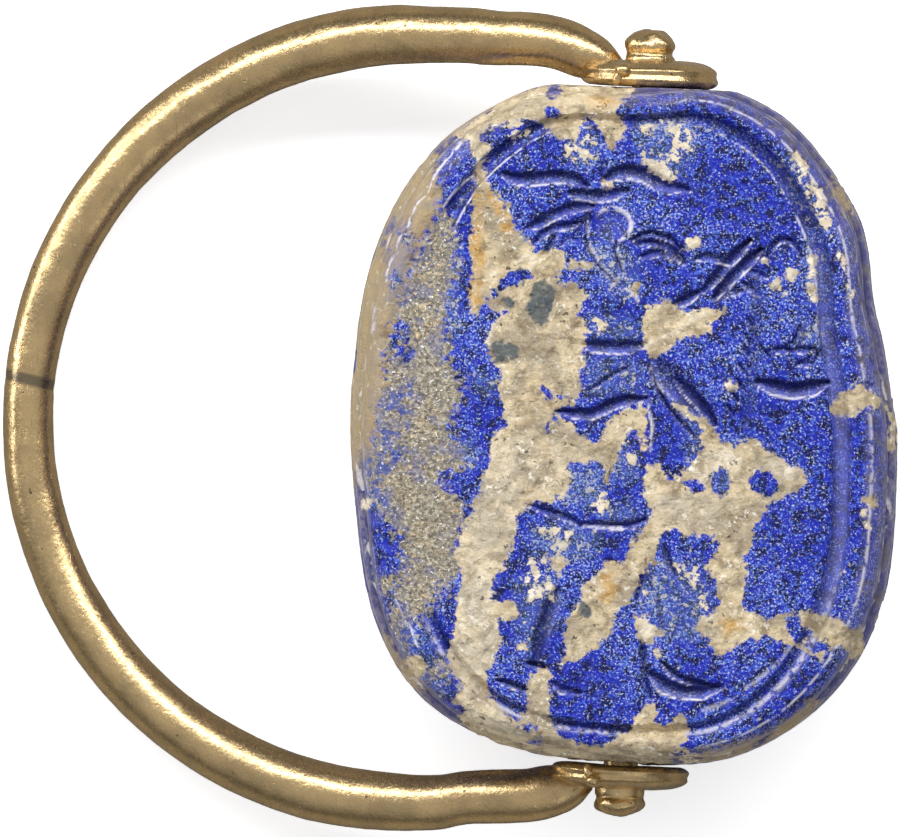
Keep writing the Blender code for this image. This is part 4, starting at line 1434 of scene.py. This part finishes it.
FILM_STRETCH = (1.6, 0.6, 4.0)
SCRATCH_STRETCH = (14.0, 0.9, 2.0)
SCRATCH_TURN = (0.3, 0.2, 0.6)

TONES = {
    "deep blue": (0.0015, 0.003, 0.070),
    "light blue": (0.070, 0.155, 0.66),
    "bright blue": (0.50, 0.58, 0.86),
    "veil blue": (0.10, 0.15, 0.24),
    "pale fleck": (0.58, 0.55, 0.50),
    "violet skin": (0.13, 0.125, 0.28),
    "pale skin": (0.33, 0.30, 0.37),
    "olive": (0.26, 0.215, 0.12),
    "polished blue": (0.24, 0.25, 0.60),
    "brown cream": (0.50, 0.385, 0.235),
    "light cream": (0.86, 0.75, 0.53),
    "grey cream": (0.29, 0.25, 0.19),
    "umber": (0.23, 0.175, 0.105),
    "orange": (0.62, 0.36, 0.10),
    "slate": (0.050, 0.075, 0.105),
    "light slate": (0.11, 0.13, 0.13),
    "crumb white": (0.96, 0.90, 0.77),
    "crust white": (0.93, 0.84, 0.68),
    "pit brown": (0.10, 0.08, 0.06),
    "warm sand": (0.40, 0.32, 0.20),
    "pale sand": (0.70, 0.63, 0.50),
    "dark sand": (0.10, 0.09, 0.08),
    "cast blue": (0.055, 0.095, 0.38),
    "golden": (0.92, 0.62, 0.27),
    "spark": (0.92, 0.90, 0.82),
    "tan": (0.45, 0.335, 0.175),
    "grey tan": (0.33, 0.285, 0.21),
    "speck": (0.72, 0.64, 0.50),
    "shadow blue": (0.16, 0.18, 0.32),
    "worn line": (0.74, 0.70, 0.66),
    "satin gold": (0.50, 0.40, 0.25),
    "pit gold": (0.12, 0.09, 0.05),
    "glint gold": (0.95, 0.85, 0.60),
    "seam": (0.13, 0.12, 0.10),
    "horizon": (0.10, 0.10, 0.10),
    "overhead": (0.54, 0.54, 0.54),
    "backdrop": (0.95, 0.95, 0.95),
    "floor in gloss": (0.32, 0.30, 0.265),
    "black": (0.0, 0.0, 0.0),
    "floor glow": (0.56, 0.56, 0.56),
}


class Paint:
    """Adds the nodes of one material or shader group."""

    def __init__(self, tree):
        self.tree = tree

    def fill(self, node, inputs):
        """Gives each named socket its value, or links it from another node."""
        for name, value in inputs.items():
            socket = node.inputs[name]
            if isinstance(value, bpy.types.NodeSocket):
                self.tree.links.new(value, socket)
            elif socket.type == "RGBA":
                socket.default_value = (*value[:3], 1.0)
            else:
                socket.default_value = value
        return node

    def add(self, kind, inputs=None, **values):
        node = self.tree.nodes.new(kind)
        for name, value in values.items():
            setattr(node, name, value)
        return self.fill(node, inputs or {})

    def calculate(self, operation, first, second=0.0):
        return self.add("ShaderNodeMath", {0: first, 1: second}, operation=operation).outputs[0]

    def plus(self, first, second):
        return self.calculate("ADD", first, second)

    def most(self, first, second):
        return self.calculate("MAXIMUM", first, second)

    def times(self, *values):
        """The product of several masks or numbers."""
        result = values[0]
        for value in values[1:]:
            result = self.calculate("MULTIPLY", result, value)
        return result

    def scaled(self, value, start, gain):
        return self.plus(start, self.times(value, gain))

    def climb(self, value, low, high):
        """0 below low, 1 above high and a smooth climb between."""
        inputs = {"Value": value, "From Min": low, "From Max": high}
        return self.add("ShaderNodeMapRange", inputs,
                        interpolation_type="SMOOTHSTEP").outputs["Result"]

    def field(self, name):
        """The number that the mesh holds under this name."""
        return self.add("ShaderNodeAttribute", attribute_name=name).outputs["Fac"]

    def coat(self, colour, *coats):
        """A colour under coats of (mask, strength, tone), the last one uppermost."""
        for mask, strength, tone in coats:
            share = mask if strength == 1.0 else self.times(mask, strength)
            tones = (TONES[tint] if isinstance(tint, str) else tint for tint in (colour, tone))
            mixed = self.add("ShaderNodeMix", dict(zip((0, 6, 7), (share, *tones))), data_type="RGBA")
            colour = mixed.outputs[2]
        return colour

    def mapped(self, place, **values):
        return self.add("ShaderNodeMapping", {"Vector": place, **values}).outputs["Vector"]

    def millimetres(self):
        """Object coordinates in millimetres."""
        place = self.add("ShaderNodeTexCoord").outputs["Object"]
        return self.mapped(place, Scale=(1 / MM,) * 3)

    def grains(self, place, recipes):
        """The masks and the heights of several grain groups, by name."""
        masks, heights = {}, {}
        for name, recipe in recipes.items():
            inputs = {"Vector": place, **dict(zip(("Scale", "Detail", "Low", "High"), recipe))}
            made = self.add("ShaderNodeGroup", inputs, node_tree=grain_group()).outputs
            masks[name], heights[name] = made["Mask"], made["Height"]
        return masks, heights

    def crystals(self, place, scale):
        """Rough crystal cells: a random number for each, and the distance from its middle."""
        swirl = self.add("ShaderNodeTexNoise", {"Vector": place, "Scale": scale * 1.4, "Detail": 1.0})
        shift = self.add("ShaderNodeVectorMath", {0: swirl.outputs["Color"], 1: (0.55 / scale,) * 3},
                         operation="MULTIPLY").outputs[0]
        moved = self.add("ShaderNodeVectorMath", {0: place, 1: shift}, operation="ADD").outputs[0]
        cells = self.add("ShaderNodeTexVoronoi", {"Vector": moved, "Scale": scale}).outputs
        pick = self.add("ShaderNodeSeparateColor", {"Color": cells["Color"]}).outputs["Red"]
        return pick, cells["Distance"]

    def bumped(self, *heights):
        """One normal from several (height, distance in millimetres) pairs."""
        inputs = {}
        for height, distance in heights:
            inputs.update({"Height": height, "Distance": distance * MM, "Strength": 1.0})
            inputs["Normal"] = self.add("ShaderNodeBump", inputs).outputs["Normal"]
        return inputs["Normal"]


def grain_group():
    """Grain: noise at a scale, sharpened between two limits into a mask."""
    name = "grain mask"
    if name in bpy.data.node_groups:
        return bpy.data.node_groups[name]
    tree = bpy.data.node_groups.new(name, "ShaderNodeTree")
    tree.interface.new_socket("Vector", in_out="INPUT", socket_type="NodeSocketVector")
    for label in ("Scale", "Detail", "Low", "High"):
        tree.interface.new_socket(label, in_out="INPUT", socket_type="NodeSocketFloat")
    for label in ("Mask", "Height"):
        tree.interface.new_socket(label, in_out="OUTPUT", socket_type="NodeSocketFloat")
    paint = Paint(tree)
    entry = paint.add("NodeGroupInput").outputs
    texture = {"Vector": entry["Vector"], "Scale": entry["Scale"], "Detail": entry["Detail"],
               "Roughness": 0.6}
    height = paint.add("ShaderNodeTexNoise", texture).outputs["Fac"]
    mask = paint.climb(height, entry["Low"], entry["High"])
    paint.add("NodeGroupOutput", {"Mask": mask, "Height": height})
    return tree


def new_material(name):
    """A material, what adds its nodes, and its shader."""
    material = bpy.data.materials.new(name)
    material.use_nodes = True
    tree = material.node_tree
    return material, Paint(tree), tree.nodes["Principled BSDF"]


def blue_colour(paint, place, settings):
    """Cobalt blue with lighter grains and pale flecks, navy in shade."""
    mask, height = paint.grains(place, BLUE_GRAINS)
    veil = paint.field("veil")
    more = paint.plus(paint.times(mask["wide areas"], 0.060), paint.times(veil, 0.035))
    light = paint.climb(paint.plus(height["light grains"], more), 0.550, 0.665)
    bright = paint.climb(paint.plus(height["bright grains"], more), 0.592, 0.697)
    fleck = paint.plus(height["flecks"], paint.times(veil, mask["fleck groups"], 0.125))
    fleck = paint.climb(fleck, 0.640, 0.72)
    skin = paint.coat("violet skin", (mask["mottling"], 1.0, "pale skin"),
                      (mask["olive film"], 0.60, "olive"))
    return paint.coat(settings.blue,
                      (mask["dark patches"], 1.0, "deep blue"),
                      (light, 0.85, "light blue"),
                      (bright, 0.84, "bright blue"),
                      (veil, 0.26, "veil blue"),
                      (fleck, 0.75, "pale fleck"),
                      (paint.field("flank"), 0.80, skin),
                      # Polish with painted sheen, then painted shade in navy
                      (paint.field("polish_and_sheen"), 0.50, "polished blue"),
                      (paint.field("shade"), 0.86, settings.navy))


def cream_colour(paint, place, settings):
    """Calcite: cream crystals with greyer clouds, stains and a few pits, darker patches of painted
    shadow, and bright crumbs that are pale grains and painted highlights.
    """
    mask, height = paint.grains(place, CREAM_GRAINS)
    ragged = paint.times(paint.plus(height["stain edges"], -0.5), 2.0)
    stain = paint.climb(paint.plus(paint.field("orange"), ragged), 0.10, 1.10)
    stain = paint.times(stain, paint.scaled(mask["clouds"], 0.45, 0.50))
    dull = paint.climb(paint.plus(paint.field("green"), ragged), 0.30, 0.90)
    crumb = paint.times(mask["crumbs"], paint.scaled(mask["crumb groups"], 0.20, 0.80),
                        paint.scaled(dull, 1.0, -0.85))
    pick, _ = paint.crystals(place, 3.0)
    pale = paint.most(paint.field("white"), paint.times(paint.field("crust"), 0.8))
    return paint.coat(settings.cream,
                      (mask["clouds"], 1.0, "brown cream"),
                      (pick, 0.40, "light cream"),
                      (mask["grey clouds"], 0.60, "grey cream"),
                      (mask["shadows"], 0.68, "umber"),
                      (stain, 1.0, "orange"),
                      (dull, 0.92, paint.coat("slate", (mask["clouds"], 1.0, "light slate"))),
                      (crumb, 0.90, "crumb white"),
                      (paint.times(pale, paint.scaled(pick, 0.35, 0.65)), 0.95, "crust white"),
                      (mask["pits"], 0.85, "pit brown"))


def band_colour(paint, place, settings):
    """The worn band: grey grains with pale and dark ones, a blue cast and golden glints."""
    mask, _ = paint.grains(place, BAND_GRAINS)
    cast = paint.most(paint.times(mask["blue cast"], 0.35),
                      paint.times(paint.field("veil"), mask["mottling"], 0.88))
    return paint.coat(settings.grey,
                      (mask["warm areas"], 0.6, "warm sand"),
                      (mask["sand"], 0.62, "pale sand"),
                      (mask["dark sand"], 0.70, "dark sand"),
                      (cast, 1.0, "cast blue"),
                      (paint.times(mask["glints"], mask["glint groups"]), 0.85, "golden"),
                      (mask["sparks"], 1.0, "spark"))


def film_colour(paint, place, mask):
    """Brown film on the worn edge: streaks along the rim, pale specks and a blue shadow."""
    streak = paint.grains(paint.mapped(place, Scale=FILM_STRETCH), FILM_STREAKS)[0]["streaks"]
    return paint.coat("tan", (streak, 0.7, "grey tan"), (mask["film specks"], 0.6, "speck"),
                      (paint.field("veil"), 0.45, "shadow blue"))


def lapis_material(settings):
    material, paint, shader = new_material("lapis with calcite")
    place = paint.millimetres()
    mask, height = paint.grains(place, STONE_GRAINS)
    coarse = paint.plus(height["coarse edges"], -0.5)
    fine = paint.plus(height["fine edges"], -0.5)
    ragged = paint.plus(paint.times(coarse, 0.45), paint.times(fine, 0.50))
    loose = paint.plus(paint.times(coarse, 0.7), paint.times(fine, 1.7))
    band = paint.climb(paint.plus(paint.field("granular"), loose), -0.22, 0.14)
    film = paint.climb(paint.plus(paint.field("brown"), paint.times(loose, 0.6)), -0.16, 0.16)
    # Lilac for rubbed edges and for the painted highlights
    rubbed_and_lit = paint.climb(paint.times(paint.field("rubbed_and_lit"), mask["rubbing"]), 0.05, 0.98)
    coats = [(band, 1.0, band_colour(paint, place, settings)),
             (film, 0.94, film_colour(paint, place, mask)),
             (rubbed_and_lit, 0.92, settings.lilac)]
    level = paint.add("ShaderNodeSeparateXYZ", {"Vector": place}).outputs["Z"]
    drifted = paint.plus(level, paint.times(height["line drift"], 1.1))
    for middle in FLANK_LINES:
        apart = paint.calculate("ABSOLUTE", paint.plus(drifted, -middle - 0.55))
        line = paint.times(paint.climb(apart, 0.11, 0.03), mask["line gaps"], paint.field("flank"))
        coats.append((line, 0.75, "worn line"))
    inside = paint.field("calcite")
    clump = paint.plus(height["crust clumps"], paint.times(paint.field("crust"), 0.26))
    calcite = paint.most(paint.climb(paint.plus(inside, ragged), -0.040, 0.060),
                         paint.climb(clump, 0.735, 0.80))
    coats.append((calcite, 1.0, cream_colour(paint, place, settings)))

    soft = paint.climb(inside, -0.05, 0.25)
    _, distance = paint.crystals(place, 2.6)
    facet = paint.times(paint.plus(distance, -0.35), soft)
    crumble = paint.times(fine, paint.most(band, paint.times(soft, 0.55)))
    roughness = paint.plus(paint.scaled(height["speckle"], 0.30, 0.22), paint.times(calcite, 0.08))
    paint.fill(shader, {
        "Base Color": paint.coat(blue_colour(paint, place, settings), *coats),
        "Roughness": roughness, "Specular IOR Level": 0.25,
        "Normal": paint.bumped((height["speckle"], 0.050), (height["polish"], 0.020),
                               (facet, 0.08), (crumble, 0.10))})
    return material


def gold_material(settings):
    """The gold that hoop and pin share, made once."""
    name = "old gold"
    if name in bpy.data.materials:
        return bpy.data.materials[name]
    material, paint, shader = new_material(name)
    place = paint.millimetres()
    mask, height = paint.grains(place, GOLD_GRAINS)
    stretched = paint.mapped(place, Rotation=SCRATCH_TURN, Scale=SCRATCH_STRETCH)
    scratch = paint.add("ShaderNodeTexNoise", {"Vector": stretched, "Scale": 1.0, "Detail": 2.0})
    scratch = paint.climb(scratch.outputs["Fac"], 0.66, 0.72)
    spot = paint.add("ShaderNodeSeparateXYZ", {"Vector": place}).outputs
    across = paint.plus(spot["Y"], paint.times(spot["X"], SEAM_SLANT))
    middle = SEAM_PLACE + SEAM_SLANT * SEAM_FRAME_X
    apart = paint.calculate("ABSOLUTE", paint.plus(across, -middle))
    behind = paint.climb(spot["X"], -10.4, -10.8)
    seam = paint.times(paint.climb(apart, 0.22, 0.10), behind)
    colour = paint.coat(settings.gold,
                        (mask["film"], 0.55, settings.patina),
                        (mask["satin"], 0.28, "satin gold"),
                        (mask["pits"], 1.0, "pit gold"),
                        # Painted glints: small bright specks in the gold's colour
                        (mask["glints"], 1.0, "glint gold"),
                        (seam, 0.72, "seam"))
    roughness = paint.plus(paint.scaled(height["film"], 0.15, 0.16), paint.times(mask["satin"], 0.08))
    paint.fill(shader, {
        "Base Color": colour, "Roughness": roughness, "Metallic": 1.0,
        "Normal": paint.bumped((height["film"], 0.022), (height["satin"], 0.012),
                               (paint.times(mask["pits"], -1.0), 0.02),
                               (paint.times(scratch, -1.0), 0.006))})
    return material


def finish_piece(piece, material, body, node, angle):
    """Shading, material and the piece's place in the frame's table."""
    piece.data.materials.clear()
    piece.data.materials.append(material)
    piece.data.shade_smooth()
    piece.data.set_sharp_from_angle(angle=math.radians(angle))
    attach(piece, body)
    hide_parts(node)


# Stage

# Lights: azimuth and elevation in degrees, distance and size in metres, and strength
LAMPS = (("strip from the head end", (-6.0, 52.0), 0.26, (0.66, 0.055), 8.5),
         ("low strip from the left", (-74.0, 10.0), 0.40, (0.30, 0.07), 7.8),
         ("low fill", (150.0, 35.0), 0.40, (0.20, 0.12), 0.6))


def softbox(name, direction, distance, size, strength):
    """A rectangular light that faces the ring."""
    azimuth, elevation = (math.radians(value) for value in direction)
    place = Vector((math.cos(elevation) * math.sin(azimuth), math.cos(elevation) * math.cos(azimuth),
                    math.sin(elevation))) * distance
    lamp = bpy.data.lights.new(name, "AREA")
    lamp.shape = "RECTANGLE"
    lamp.size, lamp.size_y = size
    lamp.energy = strength * math.pi * size[0] * size[1]
    item = add_piece(name, lamp)
    item.location = place
    item.rotation_euler = (-place).to_track_quat("-Z", "Y").to_euler()


def make_world():
    """A soft room: grey overhead and dark towards the horizon."""
    world = bpy.data.worlds.new("studio")
    bpy.context.scene.world = world
    world.use_nodes = True
    paint = Paint(world.node_tree)
    direction = paint.add("ShaderNodeTexCoord").outputs["Generated"]
    height = paint.add("ShaderNodeSeparateXYZ", {"Vector": direction}).outputs["Z"]
    seen = paint.add("ShaderNodeLightPath").outputs["Is Camera Ray"]
    colour = paint.coat("horizon", (paint.climb(height, 0.0, 0.95), 1.0, "overhead"),
                        (seen, 1.0, "backdrop"))
    paint.fill(world.node_tree.nodes["Background"], {"Color": colour})


def make_floor(settings):
    """A plain pale floor, dimmer in reflections so that the gold keeps its dark edges."""
    work = bmesh.new()
    bmesh.ops.create_grid(work, x_segments=1, y_segments=1, size=1.5)
    floor = add_piece("floor", mesh_from(work, "floor"))
    material, paint, shader = new_material("pale floor")
    path = paint.add("ShaderNodeLightPath").outputs
    paint.fill(shader, {
        "Base Color": paint.coat(settings.floor, (path["Is Glossy Ray"], 1.0, "floor in gloss")),
        "Emission Color": paint.coat("black", (path["Is Camera Ray"], 1.0, "floor glow")),
        "Emission Strength": 1.0, "Roughness": 0.9, "Specular IOR Level": 0.1})
    floor.data.materials.append(material)


def make_camera(settings):
    camera = bpy.data.cameras.new("camera")
    camera.sensor_width = 36.0
    camera.lens = camera.sensor_width * settings.camera_height / settings.frame_width
    camera.clip_start = 0.001
    camera.clip_end = 20.0
    item = add_piece("camera", camera)
    item.location = (0.0, 0.0, settings.camera_height)
    item.rotation_euler = (0.0, 0.0, settings.camera_turn)
    bpy.context.scene.camera = item


# Operators

class RING_OT_stone(bpy.types.Operator):
    """Model the carved stone and give it its lapis and calcite"""

    bl_idname = "scarab_ring.stone"
    bl_label = "Make stone"

    def execute(self, context):
        settings = context.scene.scarab_ring.stone
        mesh = drum(len(flank_rows()))
        shape_stone(mesh)
        carve_stone(mesh, settings)
        write_points(mesh, to_frame(read_points(mesh) + np.array((STONE_MIDDLE[0], 0.0, 0.0))))
        stone = add_piece("scarab_stone", mesh)
        join_solids(stone, "bore", bar_along_pin(2.4 * HALF_LENGTH), "DIFFERENCE")
        finish_piece(stone, lapis_material(settings), "scarab", "scarab", 60.0)
        return {"FINISHED"}


class RING_OT_hoop(bpy.types.Operator):
    """Model the gold hoop with its two pads"""

    bl_idname = "scarab_ring.hoop"
    bl_label = "Make hoop"

    def execute(self, context):
        settings = context.scene.scarab_ring.metal
        hoop = make_hoop(settings)
        finish_piece(hoop, gold_material(settings), "hoop", "hoop", 50.0)
        return {"FINISHED"}


class RING_OT_pin(bpy.types.Operator):
    """Model the gold pin with its two rivet heads"""

    bl_idname = "scarab_ring.pin"
    bl_label = "Make pin"

    def execute(self, context):
        material = gold_material(context.scene.scarab_ring.metal)
        finish_piece(make_pin(), material, "hoop", "pin", 50.0)
        return {"FINISHED"}


class RING_OT_stage(bpy.types.Operator):
    """Set up the plain floor, the soft lights and the camera"""

    bl_idname = "scarab_ring.stage"
    bl_label = "Make stage"

    def execute(self, context):
        settings = context.scene.scarab_ring.stage
        make_world()
        make_floor(settings)
        for lamp in LAMPS:
            softbox(*lamp)
        make_camera(settings)
        context.scene.view_settings.view_transform = "Standard"
        return {"FINISHED"}


class RING_PT_panel(bpy.types.Panel):
    """Scarab ring tools"""

    bl_idname = "RING_PT_panel"
    bl_label = "Scarab ring"
    bl_space_type = "VIEW_3D"
    bl_region_type = "UI"
    bl_category = "Scarab ring"

    def draw(self, context):
        for operator in OPERATORS:
            self.layout.operator(operator.bl_idname)
        settings = context.scene.scarab_ring
        for group in (settings.stone, settings.metal, settings.stage):
            for name in group.__annotations__:
                self.layout.prop(group, name)


OPERATORS = (RING_OT_stone, RING_OT_hoop, RING_OT_pin, RING_OT_stage)
CLASSES = (StoneSettings, GoldSettings, StageSettings, RingSettings) + OPERATORS + (RING_PT_panel,)


def register():
    for item in CLASSES:
        bpy.utils.register_class(item)
    bpy.types.Scene.scarab_ring = bpy.props.PointerProperty(type=RingSettings)


def unregister():
    del bpy.types.Scene.scarab_ring
    for item in reversed(CLASSES):
        bpy.utils.unregister_class(item)


def main():
    register()
    bpy.ops.scarab_ring.stone()
    bpy.ops.scarab_ring.hoop()
    bpy.ops.scarab_ring.pin()
    bpy.ops.scarab_ring.stage()


if __name__ == "__main__":
    main()
